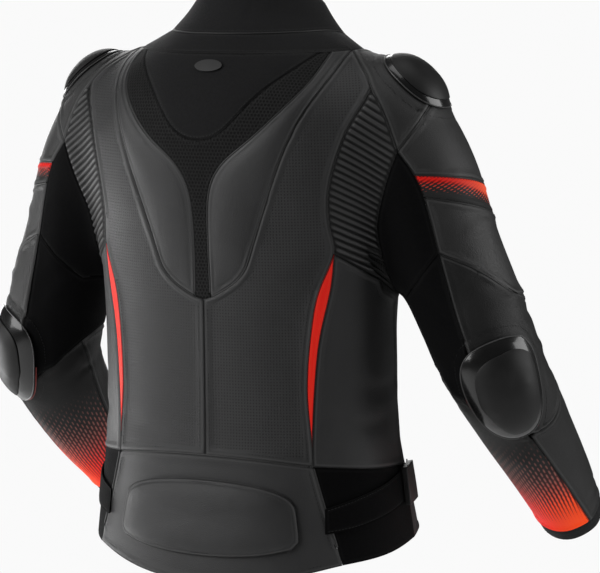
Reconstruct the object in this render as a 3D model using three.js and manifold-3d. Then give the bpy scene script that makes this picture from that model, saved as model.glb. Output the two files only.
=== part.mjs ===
import * as THREE from "three";
import { mergeVertices } from "three/addons/utils/BufferGeometryUtils.js";
import Module from "manifold-3d";

// Motorcycle jacket, zipped up and filled out as it is when worn.
// Millimetres, +Z up. The wearer's back faces +Y and the wearer's right hand is toward -X.
// The origin lies between the shoulders, level with the seam under the collar.
// The half at +X is worked out from the tables below and the other half mirrors it.

// Driving dimensions
const clothThickness = 2; // leather with its lining
const collarThickness = 3; // neoprene
const seamGap = 0.3; // between neighbouring pieces
const overlayGap = 0.8; // between a panel and what is sewn on it
const underarmGap = 1.5; // where four seams meet on the tight fold under the arm
const underarmReach = 26; // how far round that meeting the seams are open
const armBlend = 30; // how softly the sleeve runs into the body
const zipHalfWidth = 9;
const ribsInAccordion = 26;
const ribHeight = 2.4;
const backPadHeight = 4;
const kidneyPadHeight = 7;
const cupHeight = 7;
const plateHeight = 4;

// Body sections, from hem to collar top. Half width along X, reach to the back and to the front
// along Y, and how square the back and front halves of the section are (2 is an ellipse).
const bodyColumns = ["z", "halfWidth", "back", "front", "squareBack", "squareFront"];
const bodySections = [
  [-660, 200, 132, -168, 2.3, 2.7],
  [-600, 199, 129, -164, 2.3, 2.7],
  [-540, 193, 121, -146, 2.3, 2.6],
  [-460, 184, 118, -114, 2.3, 2.5],
  [-380, 182, 119, -110, 2.3, 2.5],
  [-300, 184, 121, -111, 2.3, 2.5],
  [-220, 191, 126, -118, 2.3, 2.4],
  [-150, 200, 133, -120, 2.3, 2.3],
  [-100, 202, 134, -118, 2.2, 2.2],
  [-60, 188, 124, -116, 2.1, 2.1],
  [-30, 163, 108, -118, 2, 2],
  [-8, 132, 92, -122, 2, 2],
  [10, 106, 78, -124, 2, 2],
  [30, 86, 60, -122, 2, 2],
  [60, 67, 44, -116, 2, 2],
].map((row) => Object.fromEntries(bodyColumns.map((column, i) => [column, row[i]])));

// Sleeve sections, from shoulder to wrist: centre x, y, z and radius.
const sleeveSections = [
  [120, 0, -62, 52],
  [173, -2, -88, 71],
  [214, -8, -152, 72],
  [248, -15, -240, 66],
  [283, -24, -323, 64],
  [304, -38, -388, 62],
  [314, -88, -443, 58],
  [320, -162, -512, 50],
  [319, -244, -584, 41],
];

// Places where seams meet. On the body: x, y, z. On the sleeve: distance along it from the
// shoulder, and angle round it (0 outward, 90 at the back, 180 inward, -90 in front).
const corners = {
  neckBack: { x: 0, y: 94, z: -11 },
  yokeEnd: { x: 116, y: 49, z: -6 },
  backPadTop: { x: 126, y: 37, z: -5 },
  raglanBackTop: { x: 141, y: 12, z: -4 },
  raglanFrontTop: { x: 138, y: -39, z: -10 },
  neckFront: { x: zipHalfWidth, y: -121, z: -31 },
  collarBaseBack: { x: 0, y: 77, z: 12 },
  collarBaseFront: { x: zipHalfWidth, y: -122, z: -9 },
  collarTopBack: { x: 0, y: 44, z: 60 },
  collarTopFront: { x: zipHalfWidth, y: -118, z: 37 },
  yokeTip: { x: 0, y: 135, z: -110 },
  meshEnd: { x: 0, y: 121, z: -295 },
  meshCorner: { x: 10, y: 121, z: -293 },
  padTurn: { x: 50, y: 120, z: -267 },
  accordionTip: { x: 184, y: 55, z: -50 },
  sliverTop: { x: 152, y: 84, z: -240 },
  sliverEnd: { x: 127, y: 91, z: -465 },
  waistCentre: { x: 0, y: 118, z: -479 },
  waistSide: { x: 128, y: 91, z: -488 },
  waistFront: { x: 182, y: -36, z: -500 },
  underarm: { x: 191, y: -4, z: -284 },
  chestCentre: { x: zipHalfWidth, y: -105, z: -284 },
  hemCentre: { x: 0, y: 130, z: -632 },
  hemBackSide: { x: 161, y: 80, z: -603 },
  hemFrontSide: { x: 196, y: -46, z: -589 },
  hemFront: { x: zipHalfWidth, y: -152, z: -574 },
  shoulderBack: { along: 107, round: 71 },
  shoulderFront: { along: 110, round: -76 },
  bandTopBack: { along: 138, round: 67 },
  bandTopFront: { along: 178, round: -76 },
  bandEndBack: { along: 164, round: 67 },
  bandEndFront: { along: 212, round: -76 },
  midBack: { along: 229, round: 72 },
  midFront: { along: 290, round: -76 },
  elbowBack: { along: 405, round: 76 },
  elbowFront: { along: 405, round: -76 },
  printTop: { along: 437, round: 50 },
  printInnerTop: { along: 352, round: 156 },
  cuffOuter: { along: 655, round: 30 },
  cuffInner: { along: 655, round: 164 },
  cuffOuterEnd: { along: 677, round: 30 },
};

// Seams. Each row is a corner's name or a place on the form, and how many cells run from it to
// the next row.
const seamRows = {
  collarSeam: [
    { at: "neckBack", cells: 2 },
    { x: 38, y: 90, z: -11, cells: 2 },
    { x: 78, y: 76, z: -9, cells: 2 },
    { at: "yokeEnd", cells: 2 },
    { at: "backPadTop", cells: 3 },
    { at: "raglanBackTop", cells: 4 },
    { at: "raglanFrontTop", cells: 2 },
    { x: 108, y: -84, z: -17, cells: 2 },
    { x: 62, y: -111, z: -25, cells: 2 },
    { at: "neckFront" },
  ],
  collarBase: [
    { at: "collarBaseBack", cells: 2 },
    { x: 33, y: 72, z: 12, cells: 2 },
    { x: 64, y: 56, z: 12, cells: 2 },
    { x: 84, y: 34, z: 12, cells: 2 },
    { x: 91, y: 20, z: 12, cells: 3 },
    { x: 97, y: -12, z: 10, cells: 4 },
    { x: 92, y: -56, z: 5, cells: 2 },
    { x: 76, y: -90, z: -1, cells: 2 },
    { x: 46, y: -112, z: -6, cells: 2 },
    { at: "collarBaseFront" },
  ],
  collarTop: [
    { at: "collarTopBack", cells: 2 },
    { x: 25, y: 41, z: 60, cells: 2 },
    { x: 48, y: 27, z: 60, cells: 2 },
    { x: 64, y: 7, z: 59, cells: 2 },
    { x: 69, y: -5, z: 59, cells: 3 },
    { x: 74, y: -34, z: 56, cells: 4 },
    { x: 68, y: -70, z: 50, cells: 2 },
    { x: 54, y: -95, z: 44, cells: 2 },
    { x: 32, y: -111, z: 39, cells: 2 },
    { at: "collarTopFront" },
  ],
  neckCentre: [{ at: "collarBaseBack", cells: 1 }, { at: "neckBack" }],
  collarCentre: [{ at: "collarTopBack", cells: 2 }, { at: "collarBaseBack" }],
  yokeCentre: [{ at: "neckBack", cells: 6 }, { at: "yokeTip" }],
  meshCentre: [{ at: "yokeTip", cells: 8 }, { at: "meshEnd" }],
  backCentre: [{ at: "meshEnd", cells: 7 }, { at: "waistCentre" }],
  hemBandCentre: [{ at: "waistCentre", cells: 5 }, { at: "hemCentre" }],
  yokeEdge: [
    { at: "yokeEnd", cells: 1 },
    { x: 104, y: 74, z: -24, cells: 1 },
    { x: 70, y: 112, z: -54, cells: 1 },
    { x: 50, y: 127, z: -79, cells: 1 },
    { x: 33, y: 133, z: -99, cells: 1 },
    { x: 16, y: 135, z: -108, cells: 1 },
    { at: "yokeTip" },
  ],
  backPadInner: [
    { at: "backPadTop", cells: 2 },
    { x: 120, y: 84, z: -44, cells: 3 },
    { x: 84, y: 122, z: -90, cells: 2 },
    { x: 56, y: 131, z: -116, cells: 1 },
    { x: 30, y: 133, z: -135, cells: 1 },
    { x: 14, y: 132, z: -160, cells: 2 },
    { x: 9, y: 126, z: -215, cells: 3 },
    { at: "meshCorner" },
  ],
  // The deep U that frames the padded panels; it closes on the centre line.
  uSeam: [
    { at: "raglanBackTop", cells: 2 },
    { x: 139, y: 68, z: -38, cells: 2 },
    { x: 121, y: 107, z: -80, cells: 2 },
    { x: 103, y: 120, z: -124, cells: 3 },
    { x: 84, y: 122, z: -177, cells: 2 },
    { x: 66, y: 121, z: -228, cells: 3 },
    { at: "padTurn", cells: 3 },
    { at: "meshCorner", cells: 2 },
    { at: "meshEnd" },
  ],
  backSide: [
    { at: "raglanBackTop", cells: 1 },
    { x: 163, y: 38, z: -26, cells: 2 },
    { at: "accordionTip", cells: 3 },
    { x: 167, y: 86, z: -98, cells: 4 },
    { x: 149, y: 95, z: -162, cells: 3 },
    { x: 148, y: 91, z: -206, cells: 3 },
    { at: "sliverTop", cells: 2 },
    { x: 135, y: 93, z: -283, cells: 2 },
    { x: 126, y: 95, z: -340, cells: 2 },
    { x: 122, y: 95, z: -400, cells: 3 },
    { at: "sliverEnd", cells: 1 },
    { at: "waistSide" },
  ],
  sliverOuter: [
    { at: "sliverTop", cells: 2 },
    { x: 147, y: 82, z: -280, cells: 2 },
    { x: 136, y: 89, z: -335, cells: 2 },
    { x: 130, y: 90, z: -395, cells: 3 },
    { at: "sliverEnd" },
  ],
  raglanBack: [
    { at: "accordionTip", cells: 2 },
    { x: 205, y: 62, z: -81, cells: 2 },
    { at: "shoulderBack" },
  ],
  raglanFront: [
    { at: "raglanFrontTop", cells: 1 },
    { x: 157, y: -59, z: -31, cells: 2 },
    { x: 180, y: -70, z: -54, cells: 2 },
    { x: 203, y: -76, z: -84, cells: 2 },
    { at: "shoulderFront" },
  ],
  armholeBack: [
    { at: "shoulderBack", cells: 2 },
    { x: 207, y: 66, z: -160, cells: 3 },
    { x: 192, y: 56, z: -210, cells: 2 },
    { x: 191, y: 36, z: -245, cells: 2 },
    { at: "underarm" },
  ],
  armholeFront: [
    { at: "shoulderFront", cells: 2 },
    { x: 205, y: -80, z: -160, cells: 3 },
    { x: 191, y: -70, z: -210, cells: 2 },
    { x: 190, y: -48, z: -246, cells: 2 },
    { at: "underarm" },
  ],
  accordionBottom: [
    { at: "sliverTop", cells: 1 },
    { x: 172, y: 58, z: -258, cells: 2 },
    { at: "underarm" },
  ],
  waistBack: [
    { at: "waistCentre", cells: 2 },
    { x: 66, y: 114, z: -481, cells: 2 },
    { at: "waistSide" },
  ],
  waistFlank: [
    { at: "waistSide", cells: 2 },
    { x: 162, y: 64, z: -491, cells: 2 },
    { x: 180, y: 15, z: -497, cells: 2 },
    { at: "waistFront" },
  ],
  sideSeam: [
    { at: "underarm", cells: 1 },
    { x: 188, y: -12, z: -297, cells: 1 },
    { x: 180, y: -22, z: -330, cells: 4 },
    { x: 175, y: -34, z: -410, cells: 4 },
    { at: "waistFront", cells: 5 },
    { at: "hemFrontSide" },
  ],
  lowerBackSide: [
    { at: "waistSide", cells: 2 },
    { x: 142, y: 86, z: -540, cells: 3 },
    { at: "hemBackSide" },
  ],
  hemBack: [
    { at: "hemCentre", cells: 2 },
    { x: 82, y: 120, z: -623, cells: 2 },
    { at: "hemBackSide" },
  ],
  hemFlank: [
    { at: "hemBackSide", cells: 3 },
    { x: 190, y: 25, z: -597, cells: 3 },
    { at: "hemFrontSide" },
  ],
  hemChest: [
    { at: "hemFrontSide", cells: 2 },
    { x: 184, y: -105, z: -582, cells: 2 },
    { x: 120, y: -146, z: -577, cells: 2 },
    { at: "hemFront" },
  ],
  zipEdge: [
    { at: "hemFront", cells: 15 },
    { at: "chestCentre", cells: 16 },
    { at: "neckFront", cells: 1 },
    { at: "collarBaseFront", cells: 2 },
    { at: "collarTopFront" },
  ],
  chestLine: [
    { at: "chestCentre", cells: 3 },
    { x: 112, y: -98, z: -284, cells: 3 },
    { at: "underarm" },
  ],
  shoulderSeam: [
    { at: "shoulderBack", cells: 2 },
    { along: 92, round: 40, cells: 2 },
    { along: 79, round: 0, cells: 2 },
    { along: 92, round: -40, cells: 2 },
    { at: "shoulderFront" },
  ],
  sleeveBack: [
    { at: "shoulderBack", cells: 3 },
    { at: "bandTopBack", cells: 2 },
    { at: "bandEndBack", cells: 4 },
    { at: "midBack", cells: 3 },
    { along: 304, round: 81, cells: 4 },
    { at: "elbowBack" },
  ],
  sleeveFront: [
    { at: "shoulderFront", cells: 3 },
    { at: "bandTopFront", cells: 2 },
    { at: "bandEndFront", cells: 4 },
    { at: "midFront", cells: 3 },
    { along: 345, round: -76, cells: 4 },
    { at: "elbowFront" },
  ],
  bandTop: [
    { at: "bandTopBack", cells: 2 },
    { along: 155, round: 32, cells: 3 },
    { along: 172, round: -14, cells: 3 },
    { at: "bandTopFront" },
  ],
  bandEnd: [
    { at: "bandEndBack", cells: 2 },
    { along: 186, round: 30, cells: 3 },
    { along: 206, round: -14, cells: 3 },
    { at: "bandEndFront" },
  ],
  curvedSeam: [
    { at: "midBack", cells: 2 },
    { along: 264, round: 41, cells: 2 },
    { along: 307, round: 4, cells: 2 },
    { along: 312, round: -36, cells: 2 },
    { at: "midFront" },
  ],
  stretchBottom: [
    { at: "midBack", cells: 2 },
    { along: 250, round: 107, cells: 1 },
    { along: 262, round: 135, cells: 2 },
    { at: "underarm" },
  ],
  innerFrontBottom: [
    { at: "underarm", cells: 2 },
    { along: 278, round: -140, cells: 1 },
    { along: 286, round: -112, cells: 2 },
    { at: "midFront" },
  ],
  elbowOuter: [
    { at: "elbowBack", cells: 2 },
    { at: "printTop", cells: 2 },
    { along: 448, round: 8, cells: 2 },
    { along: 434, round: -38, cells: 2 },
    { at: "elbowFront" },
  ],
  elbowInner: [
    { at: "elbowBack", cells: 2 },
    { at: "printInnerTop", cells: 3 },
    { along: 336, round: -172, cells: 2 },
    { along: 352, round: -136, cells: 3 },
    { at: "elbowFront" },
  ],
  printOuter: [
    { at: "printTop", cells: 3 },
    { along: 538, round: 43, cells: 4 },
    { at: "cuffOuter" },
  ],
  printInner: [
    { at: "printInnerTop", cells: 3 },
    { along: 480, round: 166, cells: 4 },
    { at: "cuffInner" },
  ],
  // From the print's outer edge over the outside and the front, and on behind the print.
  cuffSeam: [
    { at: "cuffOuter", cells: 4 },
    { along: 655, round: -40, cells: 3 },
    { along: 655, round: -100, cells: 3 },
    { along: 655, round: -150, cells: 4 },
    { at: "cuffInner", cells: 2 },
    { along: 655, round: 97, cells: 2 },
    { at: "cuffOuter" },
  ],
  cuffEnd: [
    { at: "cuffOuterEnd", cells: 4 },
    { along: 677, round: -40, cells: 3 },
    { along: 677, round: -100, cells: 3 },
    { along: 677, round: -150, cells: 4 },
    { along: 677, round: 164, cells: 2 },
    { along: 677, round: 97, cells: 2 },
    { at: "cuffOuterEnd" },
  ],
};

// The form: a smooth union of the body sections and the two sleeves.

const lerp = THREE.MathUtils.lerp;
const clamp = THREE.MathUtils.clamp;
const radians = THREE.MathUtils.degToRad;

function bodySection(z) {
  let i = 0;
  while (i < bodySections.length - 2 && bodySections[i + 1].z < z) {
    i += 1;
  }
  const below = bodySections[Math.max(0, i - 1)];
  const a = bodySections[i];
  const b = bodySections[i + 1];
  const above = bodySections[Math.min(bodySections.length - 1, i + 2)];
  const height = b.z - a.z;
  const t = clamp((z - a.z) / height, 0, 1);
  const section = {};
  for (const key of bodyColumns.slice(1)) {
    const slopeA = (b[key] - below[key]) / (b.z - below.z);
    const slopeB = (above[key] - a[key]) / (above.z - a.z);
    section[key] =
      (2 * t ** 3 - 3 * t ** 2 + 1) * a[key] +
      (t ** 3 - 2 * t ** 2 + t) * height * slopeA +
      (3 * t ** 2 - 2 * t ** 3) * b[key] +
      (t ** 3 - t ** 2) * height * slopeB;
  }
  return section;
}

function bodyDistance(x, y, z) {
  const section = bodySection(z);
  const middle = (section.back + section.front) / 4;
  const isBack = y > middle;
  const depth = isBack ? section.back - middle : middle - section.front;
  const power = isBack ? section.squareBack : section.squareFront;
  const across = Math.abs(x) / section.halfWidth;
  const along = Math.abs(y - middle) / depth;
  const ratio = (across ** power + along ** power) ** (1 / power);
  const reach = Math.hypot(x, y - middle);
  return reach - reach / ratio;
}

// The sleeve's centre line, with a radius and a running length at each point.
const sleeveCurve = new THREE.CatmullRomCurve3(
  sleeveSections.map(([x, y, z]) => new THREE.Vector3(x, y, z)),
  false,
  "catmullrom",
);
const stepsPerSection = 10;
const sleeveSpans = sleeveSections.length - 1;
const sleeveLine = [];
for (let i = 0; i <= sleeveSpans * stepsPerSection; i += 1) {
  const t = i / stepsPerSection;
  const row = Math.min(Math.floor(t), sleeveSpans - 1);
  const point = sleeveCurve.getPoint(t / sleeveSpans);
  const radius = lerp(sleeveSections[row][3], sleeveSections[row + 1][3], t - row);
  const last = sleeveLine.at(-1);
  const length = last ? last.length + last.point.distanceTo(point) : 0;
  sleeveLine.push({ point, radius, length });
}

function sleeveDistance(x, y, z) {
  let nearest = Infinity;
  for (let i = 0; i < sleeveLine.length - 1; i += 1) {
    const a = sleeveLine[i].point;
    const b = sleeveLine[i + 1].point;
    const dx = b.x - a.x;
    const dy = b.y - a.y;
    const dz = b.z - a.z;
    const dot = (x - a.x) * dx + (y - a.y) * dy + (z - a.z) * dz;
    const t = clamp(dot / (dx * dx + dy * dy + dz * dz), 0, 1);
    const away = Math.hypot(x - a.x - t * dx, y - a.y - t * dy, z - a.z - t * dz);
    nearest = Math.min(nearest, away - lerp(sleeveLine[i].radius, sleeveLine[i + 1].radius, t));
  }
  return nearest;
}

function formDistance(x, y, z) {
  const body = bodyDistance(x, y, z);
  const sleeve = sleeveDistance(Math.abs(x), y, z);
  const blend = Math.max(armBlend - Math.abs(body - sleeve), 0) / armBlend;
  return Math.min(body, sleeve) - (blend * blend * armBlend) / 4;
}

function formGradient(p) {
  const step = 0.5;
  return new THREE.Vector3(
    formDistance(p.x + step, p.y, p.z) - formDistance(p.x - step, p.y, p.z),
    formDistance(p.x, p.y + step, p.z) - formDistance(p.x, p.y - step, p.z),
    formDistance(p.x, p.y, p.z + step) - formDistance(p.x, p.y, p.z - step),
  ).divideScalar(2 * step);
}

function snapToForm(p) {
  for (let pass = 0; pass < 5; pass += 1) {
    const gradient = formGradient(p);
    p.addScaledVector(gradient, -formDistance(p.x, p.y, p.z) / gradient.lengthSq());
  }
  return p;
}

// A point on the sleeve from its distance along it and its angle round it.
function sleevePoint(along, round) {
  let i = 0;
  while (i < sleeveLine.length - 2 && sleeveLine[i + 1].length < along) {
    i += 1;
  }
  const a = sleeveLine[i];
  const b = sleeveLine[i + 1];
  const t = (along - a.length) / (b.length - a.length);
  const axis = b.point.clone().sub(a.point).normalize();
  const outward = new THREE.Vector3(1, 0, 0).addScaledVector(axis, -axis.x).normalize();
  const backward = new THREE.Vector3().crossVectors(outward, axis);
  backward.multiplyScalar(Math.sign(backward.y));
  const radius = lerp(a.radius, b.radius, t);
  return a.point
    .clone()
    .lerp(b.point, t)
    .addScaledVector(outward, radius * Math.cos(radians(round)))
    .addScaledVector(backward, radius * Math.sin(radians(round)));
}

// A sampled seam: its points, and the index at which each corner lies.
function makeSeam(rows) {
  const places = rows.map((row) => {
    const { x, y, z, along, round } = corners[row.at] ?? row;
    return along === undefined ? new THREE.Vector3(x, y, z) : sleevePoint(along, round);
  });
  const curve = new THREE.CatmullRomCurve3(places, false, "centripetal");
  const seam = { points: [], index: {} };
  rows.forEach((row, i) => {
    if (row.at) {
      seam.index[row.at] ??= seam.points.length;
    }
    const cells = row.cells ?? 1;
    for (let k = 0; k < cells; k += 1) {
      const t = (i + k / cells) / (rows.length - 1);
      seam.points.push(snapToForm(k === 0 ? places[i] : curve.getPoint(t)));
    }
  });
  return seam;
}

const seams = Object.fromEntries(Object.entries(seamRows).map(([name, rows]) => [name, makeSeam(rows)]));

// The stretch of a seam between two of its named rows, in either direction.
function stretch(name, from, to) {
  const { points, index } = seams[name];
  const a = index[from];
  const b = index[to];
  return a <= b ? points.slice(a, b + 1) : points.slice(b, a + 1).reverse();
}

// Several stretches end to end as one line.
function join(...lines) {
  return lines.flatMap((line, i) => (i ? line.slice(1) : line));
}

// The same line with every cell cut in equal lengths.
function refine(line, pieces) {
  const fine = [line[0]];
  for (let i = 1; i < line.length; i += 1) {
    for (let k = 1; k < pieces; k += 1) {
      fine.push(line[i - 1].clone().lerp(line[i], k / pieces));
    }
    fine.push(line[i]);
  }
  return fine;
}

const mirrorPoint = (p) => new THREE.Vector3(-p.x, p.y, p.z);
function mirrorPatch(patch) {
  const sides = Object.entries(patch).map(([side, line]) => [side, line.map(mirrorPoint)]);
  return Object.fromEntries(sides);
}

// A grid of points on the form inside four lines. Left and right run down from the top line's ends
// to the bottom line's ends. A side that is a single point closes the patch to a corner.
function gridInside({ top, bottom, left, right }) {
  const columns = Math.max(top.length, bottom.length, 2) - 1;
  const rows = Math.max(left.length, right.length) - 1;
  const at = (line, i) => (line.length === 1 ? line[0] : line[i]);
  const grid = [];
  for (let j = 0; j <= rows; j += 1) {
    const v = j / rows;
    grid.push([]);
    for (let i = 0; i <= columns; i += 1) {
      const u = i / columns;
      const onSide = (i === 0 && at(left, j)) || (i === columns && at(right, j));
      const onEnd = (j === 0 && at(top, i)) || (j === rows && at(bottom, i));
      if (onSide || onEnd) {
        grid[j].push(onSide || onEnd);
        continue;
      }
      const p = new THREE.Vector3();
      p.addScaledVector(at(left, j), 1 - u).addScaledVector(at(right, j), u);
      p.addScaledVector(at(top, i), 1 - v).addScaledVector(at(bottom, i), v);
      p.addScaledVector(at(top, 0), -(1 - u) * (1 - v)).addScaledVector(at(top, columns), -u * (1 - v));
      p.addScaledVector(at(bottom, 0), -(1 - u) * v).addScaledVector(at(bottom, columns), -u * v);
      grid[j].push(snapToForm(p));
    }
  }
  return grid;
}

// The gap between neighbours at a place on a seam.
function gapAt({ x, y, z }) {
  const underarm = corners.underarm;
  const away = Math.hypot(Math.abs(x) - underarm.x, y - underarm.y, z - underarm.z);
  return lerp(underarmGap, seamGap, clamp(away / underarmReach, 0, 1));
}

// A surface of shared points and triangles, gathered from grids.
class Surface {
  constructor() {
    this.points = [];
    this.place = [];
    this.triangles = [];
    this.known = new Map();
  }

  add(point, place) {
    const key = [point.x, point.y, point.z].map((value) => Math.round(value * 1000)).join();
    if (!this.known.has(key)) {
      this.known.set(key, this.points.length);
      this.points.push(point.clone());
      this.place.push(place);
    }
    return this.known.get(key);
  }

  addGrid(grid) {
    const rows = grid.length - 1;
    const columns = grid[0].length - 1;
    const ids = grid.map((line, j) => line.map((p, i) => this.add(p, { u: i / columns, v: j / rows })));
    for (let j = 0; j < rows; j += 1) {
      for (let i = 0; i < columns; i += 1) {
        const [a, b, c, d] = [ids[j][i], ids[j][i + 1], ids[j + 1][i + 1], ids[j + 1][i]];
        const isShort = this.points[a].distanceTo(this.points[c]) < this.points[b].distanceTo(this.points[d]);
        const split = isShort ? [[a, b, c], [a, c, d]] : [[a, b, d], [b, c, d]];
        split.forEach((triangle) => this.addTriangle(triangle));
      }
    }
    return this;
  }

  addTriangle([a, b, c]) {
    if (a === b || b === c || c === a) {
      return;
    }
    const ab = this.points[b].clone().sub(this.points[a]);
    const ac = this.points[c].clone().sub(this.points[a]);
    const middle = this.points[a].clone().add(this.points[b]).add(this.points[c]).divideScalar(3);
    const facesOut = ab.cross(ac).dot(formGradient(middle)) > 0;
    this.triangles.push(facesOut ? [a, b, c] : [a, c, b]);
  }

  // Edges that only one triangle uses, in the direction of that triangle.
  borderEdges() {
    const seen = new Set(this.triangles.flatMap(([a, b, c]) => [`${a},${b}`, `${b},${c}`, `${c},${a}`]));
    return [...seen].map((edge) => edge.split(",").map(Number)).filter(([a, b]) => !seen.has(`${b},${a}`));
  }

  // The inward move that leaves half a seam gap at each point of the border.
  insets(normals) {
    const inward = new Map();
    for (const [a, b] of this.borderEdges()) {
      const along = this.points[b].clone().sub(this.points[a]);
      for (const id of [a, b]) {
        const side = new THREE.Vector3().crossVectors(normals[id], along).normalize();
        inward.set(id, [...(inward.get(id) ?? []), side]);
      }
    }
    const sharpest = 0.12;
    const moves = new Map();
    for (const [id, [first, second]] of inward) {
      const scale = gapAt(this.points[id]) / 2 / Math.max(sharpest, 1 + first.dot(second));
      moves.set(id, first.clone().add(second).multiplyScalar(scale));
    }
    return moves;
  }

  // A closed wall on this surface. lift(place, point) is how far its outside stands off the form and
  // sink(place, point) how far its inside lies below the form.
  solid(lift, sink) {
    const normals = this.points.map((p) => formGradient(p).normalize());
    const moves = this.insets(normals);
    const count = this.points.length;
    const positions = [];
    for (const height of [lift, (...args) => -sink(...args)]) {
      this.points.forEach((p, id) => {
        const q = p.clone().addScaledVector(normals[id], height(this.place[id], p));
        q.add(moves.get(id) ?? new THREE.Vector3());
        positions.push(q.x, q.y, q.z);
      });
    }
    const faces = this.triangles.flatMap(([a, b, c]) => [a, b, c, a + count, c + count, b + count]);
    for (const [a, b] of this.borderEdges()) {
      faces.push(b, a, a + count, b, a + count, b + count);
    }
    const geometry = new THREE.BufferGeometry();
    geometry.setAttribute("position", new THREE.Float32BufferAttribute(positions, 3));
    geometry.setIndex(faces);
    return geometry;
  }
}

// Patches of the +X half, by panel. Each line is a stretch of a seam; a side that is one point
// closes the patch to a corner.

const cornerOf = (name, at) => [seams[name].points[seams[name].index[at]]];
const ribRowsPerCell = 4;

const centrePatches = {
  collar: {
    top: stretch("collarTop", "collarTopBack", "collarTopFront"),
    bottom: stretch("collarBase", "collarBaseBack", "collarBaseFront"),
    left: stretch("collarCentre", "collarTopBack", "collarBaseBack"),
    right: stretch("zipEdge", "collarTopFront", "collarBaseFront"),
  },
  neck_band: {
    top: stretch("collarBase", "collarBaseBack", "collarBaseFront"),
    bottom: stretch("collarSeam", "neckBack", "neckFront"),
    left: stretch("neckCentre", "collarBaseBack", "neckBack"),
    right: stretch("zipEdge", "collarBaseFront", "neckFront"),
  },
  yoke: {
    top: stretch("collarSeam", "neckBack", "yokeEnd"),
    bottom: stretch("yokeEdge", "yokeTip", "yokeEnd"),
    left: stretch("yokeCentre", "neckBack", "yokeTip"),
    right: cornerOf("collarSeam", "yokeEnd"),
  },
  back_mesh: {
    top: stretch("collarSeam", "yokeEnd", "backPadTop"),
    bottom: stretch("uSeam", "meshEnd", "meshCorner"),
    left: join(stretch("yokeEdge", "yokeEnd", "yokeTip"), stretch("meshCentre", "yokeTip", "meshEnd")),
    right: stretch("backPadInner", "backPadTop", "meshCorner"),
  },
  lower_back: {
    top: stretch("waistBack", "waistCentre", "waistSide"),
    bottom: stretch("hemBack", "hemCentre", "hemBackSide"),
    left: stretch("hemBandCentre", "waistCentre", "hemCentre"),
    right: stretch("lowerBackSide", "waistSide", "hemBackSide"),
  },
};

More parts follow.
